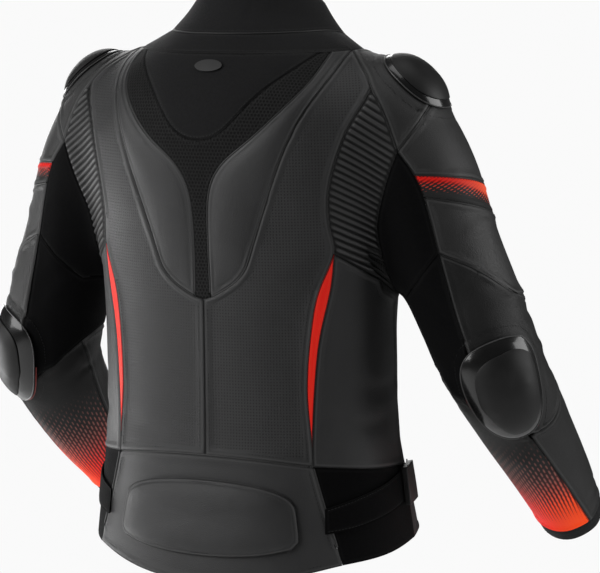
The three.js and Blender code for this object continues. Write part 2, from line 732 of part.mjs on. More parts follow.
const sidePatches = {
  back_pad: [
    {
      top: stretch("collarSeam", "backPadTop", "raglanBackTop"),
      bottom: stretch("uSeam", "meshCorner", "padTurn"),
      left: stretch("backPadInner", "backPadTop", "meshCorner"),
      right: stretch("uSeam", "raglanBackTop", "padTurn"),
    },
  ],
  back: [
    {
      top: cornerOf("collarSeam", "raglanBackTop"),
      bottom: stretch("waistBack", "waistCentre", "waistSide"),
      left: join(
        stretch("uSeam", "raglanBackTop", "meshEnd"),
        stretch("backCentre", "meshEnd", "waistCentre"),
      ),
      right: stretch("backSide", "raglanBackTop", "waistSide"),
    },
  ],
  accordion: [
    {
      top: cornerOf("backSide", "accordionTip"),
      bottom: stretch("accordionBottom", "sliverTop", "underarm"),
      left: refine(stretch("backSide", "accordionTip", "sliverTop"), ribRowsPerCell),
      right: refine(
        join(
          stretch("raglanBack", "accordionTip", "shoulderBack"),
          stretch("armholeBack", "shoulderBack", "underarm"),
        ),
        ribRowsPerCell,
      ),
    },
  ],
  sliver: [
    {
      top: cornerOf("sliverOuter", "sliverTop"),
      bottom: cornerOf("sliverOuter", "sliverEnd"),
      left: stretch("backSide", "sliverTop", "sliverEnd"),
      right: stretch("sliverOuter", "sliverTop", "sliverEnd"),
    },
  ],
  side: [
    {
      top: refine(stretch("accordionBottom", "sliverTop", "underarm"), 2),
      bottom: stretch("waistFlank", "waistSide", "waistFront"),
      left: join(
        stretch("sliverOuter", "sliverTop", "sliverEnd"),
        stretch("backSide", "sliverEnd", "waistSide"),
      ),
      right: stretch("sideSeam", "underarm", "waistFront"),
    },
  ],
  hem_side: [
    {
      top: stretch("waistFlank", "waistSide", "waistFront"),
      bottom: stretch("hemFlank", "hemBackSide", "hemFrontSide"),
      left: stretch("lowerBackSide", "waistSide", "hemBackSide"),
      right: stretch("sideSeam", "waistFront", "hemFrontSide"),
    },
  ],
  shoulder: [
    {
      top: refine(stretch("collarSeam", "raglanBackTop", "raglanFrontTop"), 2),
      bottom: stretch("shoulderSeam", "shoulderBack", "shoulderFront"),
      left: join(
        stretch("backSide", "raglanBackTop", "accordionTip"),
        stretch("raglanBack", "accordionTip", "shoulderBack"),
      ),
      right: stretch("raglanFront", "raglanFrontTop", "shoulderFront"),
    },
  ],
  front: [
    {
      top: stretch("collarSeam", "neckFront", "raglanFrontTop"),
      bottom: stretch("chestLine", "chestCentre", "underarm"),
      left: stretch("zipEdge", "neckFront", "chestCentre"),
      right: join(
        stretch("raglanFront", "raglanFrontTop", "shoulderFront"),
        stretch("armholeFront", "shoulderFront", "underarm"),
      ),
    },
    {
      top: stretch("chestLine", "chestCentre", "underarm"),
      bottom: stretch("hemChest", "hemFront", "hemFrontSide"),
      left: stretch("zipEdge", "chestCentre", "hemFront"),
      right: stretch("sideSeam", "underarm", "hemFrontSide"),
    },
  ],
  stretch: [
    {
      top: cornerOf("sleeveBack", "shoulderBack"),
      bottom: stretch("stretchBottom", "midBack", "underarm"),
      left: stretch("sleeveBack", "shoulderBack", "midBack"),
      right: stretch("armholeBack", "shoulderBack", "underarm"),
    },
  ],
  inner_front: [
    {
      top: cornerOf("sleeveFront", "shoulderFront"),
      bottom: stretch("innerFrontBottom", "midFront", "underarm"),
      left: stretch("sleeveFront", "shoulderFront", "midFront"),
      right: stretch("armholeFront", "shoulderFront", "underarm"),
    },
  ],
  upper_sleeve: [
    {
      top: stretch("shoulderSeam", "shoulderBack", "shoulderFront"),
      bottom: stretch("bandTop", "bandTopBack", "bandTopFront"),
      left: stretch("sleeveBack", "shoulderBack", "bandTopBack"),
      right: stretch("sleeveFront", "shoulderFront", "bandTopFront"),
    },
  ],
  arm_band: [
    {
      top: stretch("bandTop", "bandTopBack", "bandTopFront"),
      bottom: stretch("bandEnd", "bandEndBack", "bandEndFront"),
      left: stretch("sleeveBack", "bandTopBack", "bandEndBack"),
      right: stretch("sleeveFront", "bandTopFront", "bandEndFront"),
    },
  ],
  mid_sleeve: [
    {
      top: stretch("bandEnd", "bandEndBack", "bandEndFront"),
      bottom: stretch("curvedSeam", "midBack", "midFront"),
      left: stretch("sleeveBack", "bandEndBack", "midBack"),
      right: stretch("sleeveFront", "bandEndFront", "midFront"),
    },
  ],
  elbow_sleeve: [
    {
      top: stretch("curvedSeam", "midBack", "midFront"),
      bottom: stretch("elbowOuter", "elbowBack", "elbowFront"),
      left: stretch("sleeveBack", "midBack", "elbowBack"),
      right: stretch("sleeveFront", "midFront", "elbowFront"),
    },
  ],
  inner_sleeve: [
    {
      top: join(
        stretch("stretchBottom", "midBack", "underarm"),
        stretch("innerFrontBottom", "underarm", "midFront"),
      ),
      bottom: stretch("elbowInner", "elbowBack", "elbowFront"),
      left: stretch("sleeveBack", "midBack", "elbowBack"),
      right: stretch("sleeveFront", "midFront", "elbowFront"),
    },
  ],
  forearm_print: [
    {
      top: join(
        stretch("elbowOuter", "printTop", "elbowBack"),
        stretch("elbowInner", "elbowBack", "printInnerTop"),
      ),
      bottom: seams.cuffSeam.points.slice(seams.cuffSeam.index.cuffInner).reverse(),
      left: stretch("printOuter", "printTop", "cuffOuter"),
      right: stretch("printInner", "printInnerTop", "cuffInner"),
    },
  ],
  forearm: [
    {
      top: join(
        stretch("elbowOuter", "printTop", "elbowFront"),
        stretch("elbowInner", "elbowFront", "printInnerTop"),
      ),
      bottom: stretch("cuffSeam", "cuffOuter", "cuffInner"),
      left: stretch("printOuter", "printTop", "cuffOuter"),
      right: stretch("printInner", "printInnerTop", "cuffInner"),
    },
  ],
  cuff: [
    {
      top: seams.cuffSeam.points,
      bottom: seams.cuffEnd.points,
      left: [seams.cuffSeam.points[0], seams.cuffEnd.points[0]],
      right: [seams.cuffSeam.points.at(-1), seams.cuffEnd.points.at(-1)],
    },
  ],
};

// Pieces sewn on a panel: each is an oval grid of rings and spokes on the form, from a function
// that gives the place for a share of the way out from the middle and an angle round it.
function ovalGrid(place, ringShares, spokes) {
  return ringShares.map((share) => {
    const ring = [];
    for (let k = 0; k <= spokes; k += 1) {
      ring.push(snapToForm(place(share, ((k % spokes) / spokes) * 2 * Math.PI)));
    }
    return ring;
  });
}

function ovalSurface(place, ringShares, spokes) {
  const surface = new Surface();
  surface.addGrid(ovalGrid(place, ringShares, spokes));
  surface.place.forEach((spot) => {
    spot.out = ringShares[Math.round(spot.v * (ringShares.length - 1))];
  });
  return surface;
}

// Height of a dome with a steep rim: 0 at the rim and 1 in the middle.
const dome = (share, power) => 1 - share ** power;

// A point on a rounded square of half width 1: power 2 is a circle, and a higher power is squarer.
function roundedSquare(angle, power) {
  const c = Math.cos(angle);
  const s = Math.sin(angle);
  const reach = (Math.abs(c) ** power + Math.abs(s) ** power) ** (1 / power);
  return [c / reach, s / reach];
}

const kidneyPad = { halfWidth: 121, halfHeight: 46, y: 118, z: -553, bow: 0.3, taper: 0.04, power: 7 };
function kidneyPlace(share, angle) {
  const [across, up] = roundedSquare(angle, kidneyPad.power);
  const x = kidneyPad.halfWidth * share * across * (1 - kidneyPad.taper * up);
  const bow = 1 - kidneyPad.bow * (x / kidneyPad.halfWidth) ** 2;
  return new THREE.Vector3(x, kidneyPad.y, kidneyPad.z + kidneyPad.halfHeight * share * bow * up);
}

const badge = { halfWidth: 18, halfHeight: 7, y: 104, z: -26 };
function badgePlace(share, angle) {
  const x = badge.halfWidth * share * Math.cos(angle);
  return new THREE.Vector3(x, badge.y, badge.z + badge.halfHeight * share * Math.sin(angle));
}

// The shoulder cup lies on the slope from the neck down the sleeve.
const shoulderCup = { x: 219, y: -4, z: -39, halfLength: 50, halfWidth: 49, slope: 41, power: 2.3 };
function shoulderPlace(share, angle) {
  const [lengthwise, sideways] = roundedSquare(angle, shoulderCup.power);
  const down = shoulderCup.halfLength * share * lengthwise;
  const across = shoulderCup.halfWidth * share * sideways;
  return new THREE.Vector3(
    shoulderCup.x + down * Math.cos(radians(shoulderCup.slope)),
    shoulderCup.y + across,
    shoulderCup.z - down * Math.sin(radians(shoulderCup.slope)),
  );
}

// The elbow cup is broad above the joint and narrows below it. Reach from its middle, along the
// sleeve and round it.
const elbowCup = { along: 386, round: 53, up: 44, down: 47, back: 46, outer: 42, narrow: 0.22, power: 2.5 };
function elbowPlace(share, angle) {
  const [lengthwise, sideways] = roundedSquare(angle, elbowCup.power);
  const along = share * lengthwise * (lengthwise > 0 ? elbowCup.down : elbowCup.up);
  const taper = 1 - (elbowCup.narrow * along) / elbowCup.down;
  const width = taper * (sideways > 0 ? elbowCup.back : elbowCup.outer);
  return sleevePoint(elbowCup.along + along, elbowCup.round + share * width * sideways);
}

// The strap round the side of the hem, and its folded end: upper and lower edge from back to front.
const strapEdges = [
  { y: 87, x: 141, top: -537, bottom: -567 },
  { y: 64, x: 166, top: -527, bottom: -562 },
  { y: 20, x: 184, top: -514, bottom: -551 },
  { y: -25, x: 190, top: -503, bottom: -541 },
  { y: -72, x: 186, top: -496, bottom: -533 },
];
function strapGrid(from, to, columns, rows, spread) {
  const edgePoints = (edge) => strapEdges.map((row) => new THREE.Vector3(row.x, row.y, row[edge]));
  const curveOf = (edge) => new THREE.CatmullRomCurve3(edgePoints(edge));
  const topCurve = curveOf("top");
  const lowCurve = curveOf("bottom");
  const grid = [];
  for (let j = 0; j <= rows; j += 1) {
    grid.push([]);
    for (let i = 0; i <= columns; i += 1) {
      const t = lerp(from, to, i / columns);
      const v = lerp(-spread, 1 + spread, j / rows);
      grid[j].push(snapToForm(topCurve.getPoint(t).lerp(lowCurve.getPoint(t), v)));
    }
  }
  return grid;
}

// Colours, roughness and metalness.
function material(color, roughness, metalness = 0) {
  return new THREE.MeshStandardMaterial({ color, roughness, metalness });
}
const materials = {
  leather: material(0x3b3b3d, 0.55),
  leatherSoft: material(0x333335, 0.6),
  perforated: material(0x3a3a3c, 0.65),
  neoprene: material(0x1b1b1d, 0.85),
  mesh: material(0x111113, 0.95),
  ribbed: material(0x161618, 0.8),
  stretchCloth: material(0x0e0e10, 0.9),
  red: material(0xee2a14, 0.5),
  print: material(0xb02a16, 0.6),
  cup: material(0x0b0b0d, 0.18),
  plate: material(0x222224, 0.5),
  metal: material(0x2c2c2e, 0.35, 1),
};
const panelMaterials = {
  back_pad: "leather",
  back: "perforated",
  accordion: "ribbed",
  sliver: "red",
  side: "leather",
  hem_side: "stretchCloth",
  shoulder: "leatherSoft",
  front: "leather",
  stretch: "stretchCloth",
  inner_front: "stretchCloth",
  upper_sleeve: "leatherSoft",
  arm_band: "red",
  mid_sleeve: "leatherSoft",
  elbow_sleeve: "leatherSoft",
  inner_sleeve: "stretchCloth",
  forearm_print: "print",
  forearm: "leatherSoft",
  cuff: "neoprene",
};

const group = new THREE.Group();

function addMesh(name, geometry, look) {
  const mesh = new THREE.Mesh(geometry, materials[look]);
  mesh.name = name;
  geometry.computeVertexNormals();
  group.add(mesh);
  return mesh;
}

// A copy of a geometry at -X.
function mirrored(geometry) {
  const copy = geometry.clone().scale(-1, 1, 1);
  const faces = copy.index.array;
  for (let i = 0; i < faces.length; i += 3) {
    [faces[i], faces[i + 1]] = [faces[i + 1], faces[i]];
  }
  return copy;
}

function addPair(name, geometry, look) {
  addMesh(`${name}_left`, geometry, look);
  addMesh(`${name}_right`, mirrored(geometry), look);
}

// Raised outsides: ribs and padding.
function ribLift({ u, v }) {
  const isEdge = u === 0 || u === 1;
  return isEdge ? 0 : ribHeight * Math.sin(Math.PI * ribsInAccordion * v) ** 2;
}
// The padding is fullest along the middle and runs out just above the lower end.
const padRun = { across: 0.6, along: 0.5, reach: 1.1 };
function padLift({ u, v }) {
  const across = Math.sin(Math.PI * u) ** padRun.across;
  const along = Math.sin(Math.PI * clamp(v * padRun.reach, 0, 1)) ** padRun.along;
  return backPadHeight * across * along;
}
const flat = () => 0;
const cloth = () => clothThickness;
const lifts = { accordion: ribLift, back_pad: padLift };

for (const [name, patch] of Object.entries(centrePatches)) {
  const surface = new Surface();
  surface.addGrid(gridInside(patch));
  surface.addGrid(gridInside(mirrorPatch(patch)));
  const isCollar = name === "collar" || name === "neck_band";
  const look = { back_mesh: "mesh", lower_back: "leather" }[name] ?? "neoprene";
  addMesh(name, surface.solid(flat, isCollar ? () => collarThickness : cloth), look);
}

for (const [name, patches] of Object.entries(sidePatches)) {
  const surface = new Surface();
  patches.forEach((patch) => surface.addGrid(gridInside(patch)));
  addPair(name, surface.solid(lifts[name] ?? flat, cloth), panelMaterials[name]);
}

// The front zip: a tape with the closed chain standing on it.
const chainHalfWidth = 2.4;
const chainHeight = 1.6;
const zipColumns = [-1, -chainHalfWidth / zipHalfWidth, chainHalfWidth / zipHalfWidth, 1];
{
  const edge = seams.zipEdge.points;
  const tapePoint = (p, share) => {
    const point = new THREE.Vector3(share * p.x, p.y, p.z);
    return Math.abs(share) === 1 ? point : snapToForm(point);
  };
  const grid = edge.map((p) => zipColumns.map((share) => tapePoint(p, share)));
  const surface = new Surface().addGrid(grid);
  const chainEdge = (chainHalfWidth + zipHalfWidth) / 2;
  const chainLift = (spot, p) => (Math.abs(p.x) < chainEdge ? chainHeight : 0);
  addMesh("zip", surface.solid(chainLift, cloth), "metal");
}

// Overlays.
const above = (height) => () => -height;
const padRings = [0, 0.3, 0.56, 0.78, 0.93, 1];
const cupRings = [0, 0.4, 0.66, 0.82, 0.93, 1];
const plateRings = cupRings.slice(0, 4);
const rimThickness = 1.5;

const kidneySurface = ovalSurface(kidneyPlace, padRings, 32);
const kidneyDome = 5;
const kidneyLift = ({ out }) => overlayGap + rimThickness + kidneyPadHeight * dome(out, kidneyDome);
addMesh("kidney_pad", kidneySurface.solid(kidneyLift, above(overlayGap)), "leather");

const badgeSurface = ovalSurface(badgePlace, [0, 0.6, 1], 16);
const badgeDome = { edge: 1, height: 0.4, power: 2 };
const badgeLift = ({ out }) => overlayGap + badgeDome.edge + badgeDome.height * dome(out, badgeDome.power);
addMesh("yoke_badge", badgeSurface.solid(badgeLift, above(overlayGap)), "plate");

const cupDome = 2.8;
const plateDome = 3;
const plateEdge = 1;
const cupOutside = ({ out }) => overlayGap + rimThickness + cupHeight * dome(out, cupDome);
const plateInside = (spot) => -cupOutside(spot) - seamGap;
function plateOutside(spot) {
  const share = spot.out / plateRings.at(-1);
  return cupOutside(spot) + seamGap + plateEdge + plateHeight * dome(share, plateDome);
}
for (const [name, place] of Object.entries({ shoulder: shoulderPlace, elbow: elbowPlace })) {
  const spokes = 20;
  addPair(`${name}_cup`, ovalSurface(place, cupRings, spokes).solid(cupOutside, above(overlayGap)), "cup");
  const plateSolid = ovalSurface(place, plateRings, spokes).solid(plateOutside, plateInside);
  addPair(`${name}_plate`, plateSolid, "plate");
}

// The zip's slider, at the top of the closed chain, and the tab that hangs from its bar.
const wasm = await Module();
wasm.setup();

function toSolid(geometry) {
  geometry.deleteAttribute("normal");
  geometry.deleteAttribute("uv");
  const merged = mergeVertices(geometry, 1e-4);
  return new wasm.Manifold(
    new wasm.Mesh({
      numProp: 3,
      vertProperties: new Float32Array(merged.attributes.position.array),
      triVerts: new Uint32Array(merged.index.array),
    }),
  );
}

function toGeometry(solid) {
  const { vertProperties, triVerts } = solid.getMesh();
  const geometry = new THREE.BufferGeometry();
  geometry.setAttribute("position", new THREE.Float32BufferAttribute(vertProperties, 3));
  geometry.setIndex([...triVerts]);
  return geometry;
}

const rodSides = 20;
function block(width, depth, height, x, y, z) {
  return toSolid(new THREE.BoxGeometry(width, depth, height).translate(x, y, z));
}
function rod(radius, length) {
  return toSolid(new THREE.CylinderGeometry(radius, radius, length, rodSides).rotateZ(Math.PI / 2));
}

const slider = { zipHeight: 29, width: 9, depth: 3.2, height: 12, chainGap: 0.6 };
const post = { width: 1.4, inner: 3.2, depth: 5, height: 5 };
const bar = { radius: 1.1, reach: 3.2 };
const tab = {
  knuckle: 2.7,
  bore: 1.6,
  neckWidth: 5.6,
  neckLength: 10,
  width: 9,
  length: 34,
  depth: 1.8,
  corner: 2,
};

// Everything here is measured from the bar's axis, with the chain toward +Y.
function makeSlider() {
  const face = bar.reach;
  const postX = post.inner + post.width / 2;
  const postY = face + 0.5 - post.depth / 2;
  return block(slider.width, slider.depth, slider.height, 0, face + slider.depth / 2, 0)
    .add(block(post.width, post.depth, post.height, postX, postY, 0))
    .add(block(post.width, post.depth, post.height, -postX, postY, 0))
    .add(rod(bar.radius, 2 * post.inner + post.width));
}

function makePull() {
  const outline = new THREE.Shape();
  outline.moveTo(-tab.neckWidth / 2, 0);
  outline.lineTo(-tab.neckWidth / 2, -tab.neckLength);
  outline.lineTo(-tab.width / 2, -tab.neckLength - tab.corner);
  outline.lineTo(-tab.width / 2, -tab.length + tab.corner);
  const cornerX = tab.width / 2 - tab.corner;
  const cornerY = tab.corner - tab.length;
  outline.absarc(-cornerX, cornerY, tab.corner, Math.PI, 1.5 * Math.PI, false);
  outline.absarc(cornerX, cornerY, tab.corner, -0.5 * Math.PI, 0, false);
  outline.lineTo(tab.width / 2, -tab.neckLength - tab.corner);
  outline.lineTo(tab.neckWidth / 2, -tab.neckLength);
  outline.lineTo(tab.neckWidth / 2, 0);
  outline.closePath();
  const cut = { depth: tab.depth, bevelEnabled: false, curveSegments: 4 };
  const sheet = new THREE.ExtrudeGeometry(outline, cut);
  sheet.rotateX(Math.PI / 2).translate(0, tab.depth / 2, 0);
  return toSolid(sheet).add(rod(tab.knuckle, tab.neckWidth)).subtract(rod(tab.bore, tab.width));
}

const seat = snapToForm(new THREE.Vector3(0, corners.collarTopFront.y, slider.zipHeight));
const seatNormal = formGradient(seat).normalize();
const standOff = chainHeight + slider.chainGap + slider.depth + bar.reach;
const barCentre = seat.clone().addScaledVector(seatNormal, standOff);
const sliderMesh = addMesh("zip_slider", toGeometry(makeSlider()), "metal");
sliderMesh.position.copy(barCentre);
sliderMesh.rotation.x = -Math.asin(seatNormal.z);
const pullMesh = addMesh("zip_pull", toGeometry(makePull()), "metal");
pullMesh.position.copy(barCentre);

const strapThickness = 2;
const tabBottom = overlayGap + strapThickness + overlayGap;
const tabHeight = 11;
const tabPlace = { from: 0.7, to: 0.85, spread: 0.1 }; // shares of the strap's length and width
const strapSurface = new Surface().addGrid(strapGrid(0, 1, 14, 2, 0));
const strapSolid = strapSurface.solid(() => overlayGap + strapThickness, above(overlayGap));
addPair("waist_strap", strapSolid, "stretchCloth");
const tabSurface = new Surface().addGrid(strapGrid(tabPlace.from, tabPlace.to, 3, 4, tabPlace.spread));
addPair("strap_tab", tabSurface.solid(() => tabHeight, above(tabBottom)), "leather");

export default group;
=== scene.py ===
import math
import bpy
import numpy as np
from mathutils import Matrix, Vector
from mathutils.bvhtree import BVHTree
from mathutils.kdtree import KDTree


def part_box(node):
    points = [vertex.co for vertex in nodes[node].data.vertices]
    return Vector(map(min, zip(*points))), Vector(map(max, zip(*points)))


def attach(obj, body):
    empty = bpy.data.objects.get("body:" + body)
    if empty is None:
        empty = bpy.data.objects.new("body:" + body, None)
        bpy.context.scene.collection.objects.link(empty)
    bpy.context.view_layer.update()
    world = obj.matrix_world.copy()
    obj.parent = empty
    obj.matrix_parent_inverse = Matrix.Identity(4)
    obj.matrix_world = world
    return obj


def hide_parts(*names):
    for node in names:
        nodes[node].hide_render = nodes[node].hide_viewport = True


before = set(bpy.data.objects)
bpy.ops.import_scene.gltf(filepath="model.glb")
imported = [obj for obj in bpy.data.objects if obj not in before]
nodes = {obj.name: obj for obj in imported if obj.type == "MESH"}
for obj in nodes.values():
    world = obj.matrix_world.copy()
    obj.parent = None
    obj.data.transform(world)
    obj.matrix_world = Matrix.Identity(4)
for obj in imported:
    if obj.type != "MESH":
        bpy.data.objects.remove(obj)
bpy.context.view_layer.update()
mm = 0.001
signs = dict(left=1, right=-1)  # of X on each side of the wearer
outside, edgeBand, lining = 0, 1, 2  # material slots of a piece of cloth

# The arm's centre line from shoulder to wrist: x, y, z and radius.
armTable = np.array([
    (0.120, 0.000, -0.062, 0.052),
    (0.173, -0.002, -0.088, 0.071),
    (0.214, -0.008, -0.152, 0.072),
    (0.248, -0.015, -0.240, 0.066),
    (0.283, -0.024, -0.323, 0.064),
    (0.304, -0.038, -0.388, 0.062),
    (0.314, -0.088, -0.443, 0.058),
    (0.320, -0.162, -0.512, 0.050),
    (0.319, -0.244, -0.584, 0.041),
])
armLength = np.concatenate([[0], np.cumsum(np.linalg.norm(np.diff(armTable[:, :3], axis=0), axis=1))])
trunk = dict(low=-0.62, high=0.03, radius=0.15, bow=-0.03, step=0.02)


def armRow(along, sign=1):  # centre and radius of a sleeve
    row = np.array([np.interp(along, armLength, column) for column in armTable.T])
    return row[:3] * (sign, 1, 1), row[3]


# Points inside the jacket: cloth faces away from the nearest of them.
trunkHeights = np.arange(trunk["low"], trunk["high"], trunk["step"])
insideRows = [(0, trunk["bow"], z, trunk["radius"]) for z in trunkHeights]
for sign in (-1, 1):
    for along in np.arange(0, armLength[-1] + 0.01, 0.01):
        centre, radius = armRow(along, sign)
        insideRows.append((*centre, radius))
insideRows = np.array(insideRows)


def awayFromInside(points):
    away = points[:, None, :] - insideRows[None, :, :3]
    reach = np.linalg.norm(away, axis=2)
    nearest = (reach / insideRows[:, 3]).argmin(axis=1)
    rows = np.arange(len(points))
    return away[rows, nearest] / reach[rows, nearest][:, None]


def pickOnly(piece):
    bpy.ops.object.select_all(action="DESELECT")
    piece.select_set(True)
    bpy.context.view_layer.objects.active = piece


def applyModifier(piece, kind, **settings):
    pickOnly(piece)
    modifier = piece.modifiers.new(kind.title(), kind)
    for key, value in settings.items():
        setattr(modifier, key, value)
    bpy.ops.object.modifier_apply(modifier=modifier.name)


def read(items, key, width=1, kind=float):  # a value or vector of every item, as an array
    values = np.empty(len(items) * width, kind)
    items.foreach_get(key, values)
    return values.reshape(-1, width) if width > 1 else values


def vertexPlaces(mesh):
    return read(mesh.vertices, "co", 3)


def setPlaces(mesh, places):
    mesh.vertices.foreach_set("co", places.ravel())
    mesh.update()


def faceSlots(mesh):
    return read(mesh.polygons, "material_index", kind=int)


def faceData(mesh):
    return [read(mesh.polygons, key, width) for key, width in (("center", 3), ("normal", 3), ("area", 1))]


def loopData(mesh):  # vertex and face of every corner
    totals = read(mesh.polygons, "loop_total", kind=int)
    return read(mesh.loops, "vertex_index", kind=int), np.repeat(np.arange(len(totals)), totals)


def edgeData(mesh):  # edge of every corner, and the two ends of every edge
    return read(mesh.loops, "edge_index", kind=int), read(mesh.edges, "vertices", 2, int)


def markValues(mesh, name, values, domain="POINT"):
    mesh.attributes.new(name, "FLOAT", domain).data.foreach_set("value", values)


def smoothFaces(mesh):
    mesh.polygons.foreach_set("use_smooth", np.ones(len(mesh.polygons), bool))


def unit(vector):
    return vector / np.linalg.norm(vector)


def pointTree(points, ids=None):
    tree = KDTree(len(points))
    for i, point in zip(range(len(points)) if ids is None else ids, points):
        tree.insert(point, i)
    tree.balance()
    return tree


def faceTree(mesh, slot=None):
    faces = [p.vertices for p in mesh.polygons if slot is None or p.material_index == slot]
    return BVHTree.FromPolygons([v.co for v in mesh.vertices], faces)


def selectFaces(piece, chosen):
    mesh = piece.data
    mesh.vertices.foreach_set("select", np.zeros(len(mesh.vertices), bool))
    mesh.edges.foreach_set("select", np.zeros(len(mesh.edges), bool))
    mesh.polygons.foreach_set("select", np.asarray(chosen, bool))
    mesh.update()


def copyNode(node, name):
    pickOnly(nodes[node])
    bpy.ops.object.duplicate()
    piece = bpy.context.object
    piece.name = name
    piece.data.name = name
    piece.parent = None
    for mark in [key for key in piece.keys() if key.startswith("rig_")]:
        del piece[mark]
    piece.data.materials.clear()
    bpy.ops.mesh.customdata_custom_splitnormals_clear()
    bpy.ops.object.mode_set(mode="EDIT")
    bpy.ops.mesh.select_mode(type="FACE")
    bpy.ops.mesh.select_all(action="SELECT")
    bpy.ops.mesh.remove_doubles(threshold=0.02 * mm)
    bpy.ops.mesh.tris_convert_to_quads(face_threshold=math.radians(40), shape_threshold=math.radians(60))
    bpy.ops.object.mode_set(mode="OBJECT")
    return piece


skinning = dict(reach=22 * mm, lean=0.5, post=0.8)  # how faces are told apart as outside, edge or lining


def markSkins(piece):
    mesh = piece.data
    centres, normals, areas = faceData(mesh)
    tree = pointTree(centres)
    away = awayFromInside(centres)
    slots = np.empty(len(centres), int)
    for i, centre in enumerate(centres):
        near = [row[1] for row in tree.find_range(centre, skinning["reach"])]
        tensor = (normals[near] * areas[near, None]).T @ normals[near]
        across = np.linalg.eigh(tensor)[1][:, -1]
        across = across * (1 if across @ away[i] > 0 else -1)
        lean = normals[i] @ across
        slots[i] = outside if lean > skinning["lean"] else lining if lean < -skinning["lean"] else edgeBand
    for _ in range(3):
        mesh.materials.append(None)
    mesh.polygons.foreach_set("material_index", slots)
    mesh.update()


def creaseBorders(piece, corner=32):  # keeps seams sharp, and outlines where they turn by more than corner
    mesh = piece.data
    slots, places, normals = faceSlots(mesh), vertexPlaces(mesh), faceData(mesh)[1]
    edgeOf, ends = edgeData(mesh)
    facesOf = [[] for _ in ends]
    for edge, face in zip(edgeOf, loopData(mesh)[1]):
        facesOf[edge].append(face)
    edgeCrease, vertexCrease = np.zeros(len(ends)), np.zeros(len(places))
    borderEnds = {}
    for i, faces in enumerate(facesOf):
        if len(faces) != 2:
            continue
        a, b = faces
        isBorder = slots[a] != slots[b]
        isCornerPost = slots[a] == slots[b] == edgeBand and normals[a] @ normals[b] < skinning["post"]
        edgeCrease[i] = isBorder or isCornerPost
        if isBorder:
            for one, other in (ends[i], ends[i][::-1]):
                borderEnds.setdefault(one, []).append(other)
    for vertex, others in borderEnds.items():
        if len(others) != 2:
            vertexCrease[vertex] = 1
            continue
        before, after = places[vertex] - places[others[0]], places[others[1]] - places[vertex]
        cosine = before @ after / (np.linalg.norm(before) * np.linalg.norm(after) + 1e-12)
        vertexCrease[vertex] = cosine < math.cos(math.radians(corner))
    markValues(mesh, "crease_edge", edgeCrease, "EDGE")
    markValues(mesh, "crease_vert", vertexCrease)
    mesh.update()


def layFlat(piece, up):  # flat pattern of the outside in metres, as the UV map "cut"
    mesh = piece.data
    while mesh.uv_layers:
        mesh.uv_layers.remove(mesh.uv_layers[0])
    mesh.uv_layers.new(name="cut")
    slots = faceSlots(mesh)
    pickOnly(piece)
    selectFaces(piece, slots == outside)
    bpy.ops.object.mode_set(mode="EDIT")
    bpy.ops.uv.unwrap(method="ANGLE_BASED", correct_aspect=False, margin=0.0)
    bpy.ops.object.mode_set(mode="OBJECT")
    mesh = piece.data
    vertexOf, faceOf = loopData(mesh)
    flat = read(mesh.uv_layers["cut"].data, "uv", 2)
    onSkin = slots[faceOf] == outside
    places = vertexPlaces(mesh)[vertexOf]
    area = faceData(mesh)[2][slots == outside].sum()
    mesh.calc_loop_triangles()
    triangles = np.array([t.loops for t in mesh.loop_triangles if slots[t.polygon_index] == outside])
    a, b, c = (flat[triangles[:, k]] for k in range(3))
    flatArea = abs(np.cross(b - a, c - a)).sum() / 2
    flat = flat * math.sqrt(area / flatArea)
    fit = np.column_stack([flat[onSkin], np.ones(onSkin.sum())])
    slope = unit(np.linalg.lstsq(fit, places[onSkin] @ np.array(up), rcond=None)[0][:2])
    flat = np.column_stack([flat @ (slope[1], -slope[0]), flat @ slope])
    low, high = flat[onSkin].min(axis=0), flat[onSkin].max(axis=0)
    flat = flat - ((low[0] + high[0]) / 2, low[1])
    flat[~onSkin] = 0
    mesh.uv_layers["cut"].data.foreach_set("uv", flat.ravel())
    return high - low, area


def outsideNormals(mesh):
    centres, normals, areas = faceData(mesh)
    vertexOf, faceOf = loopData(mesh)
    use = faceSlots(mesh)[faceOf] == outside
    sums = np.zeros((len(mesh.vertices), 3))
    np.add.at(sums, vertexOf[use], (normals * areas[:, None])[faceOf[use]])
    lengths = np.linalg.norm(sums, axis=1)
    onSkin = lengths > 0
    sums[onSkin] /= lengths[onSkin][:, None]
    return sums, onSkin


def borderEdges(mesh):  # ends of the edges between the outside and the rest
    edgeOf, ends = edgeData(mesh)
    isOut = faceSlots(mesh)[loopData(mesh)[1]] == outside
    touched = np.zeros((2, len(ends)), bool)
    touched[0, edgeOf[isOut]] = True
    touched[1, edgeOf[~isOut]] = True
    return ends[touched.all(axis=0)]


def nearestReach(points, fromPoints):
    tree = pointTree(fromPoints)
    return np.array([tree.find(point)[2] for point in points])


def borderReach(mesh, points):  # distance of points from the border of the outside
    ends = vertexPlaces(mesh)[borderEdges(mesh)]
    return nearestReach(points, np.concatenate([ends[:, 0], ends[:, 0] * 0.5 + ends[:, 1] * 0.5, ends[:, 1]]))


def setInputs(tree, node, inputs):  # links what is a socket and sets what is a value
    for key, value in inputs.items():
        if isinstance(value, bpy.types.NodeSocket):
            tree.links.new(value, node.inputs[key])
        else:
            node.inputs[key].default_value = value


def addNode(tree, kind, inputs=None, **settings):
    node = tree.nodes.new(kind)
    for key, value in settings.items():
        setattr(node, key, value)
    setInputs(tree, node, inputs or {})
    return node


def calculate(tree, operation, *values, clamp=False):
    inputs = dict(enumerate(values))
    return addNode(tree, "ShaderNodeMath", inputs, operation=operation, use_clamp=clamp).outputs[0]


def ramp(tree, value, low, high, fromValue=0.0, toValue=1.0):  # smooth step from one value to another
    inputs = {"Value": value, "From Min": low, "From Max": high, "To Min": fromValue, "To Max": toValue}
    return addNode(tree, "ShaderNodeMapRange", inputs, interpolation_type="SMOOTHSTEP").outputs[0]


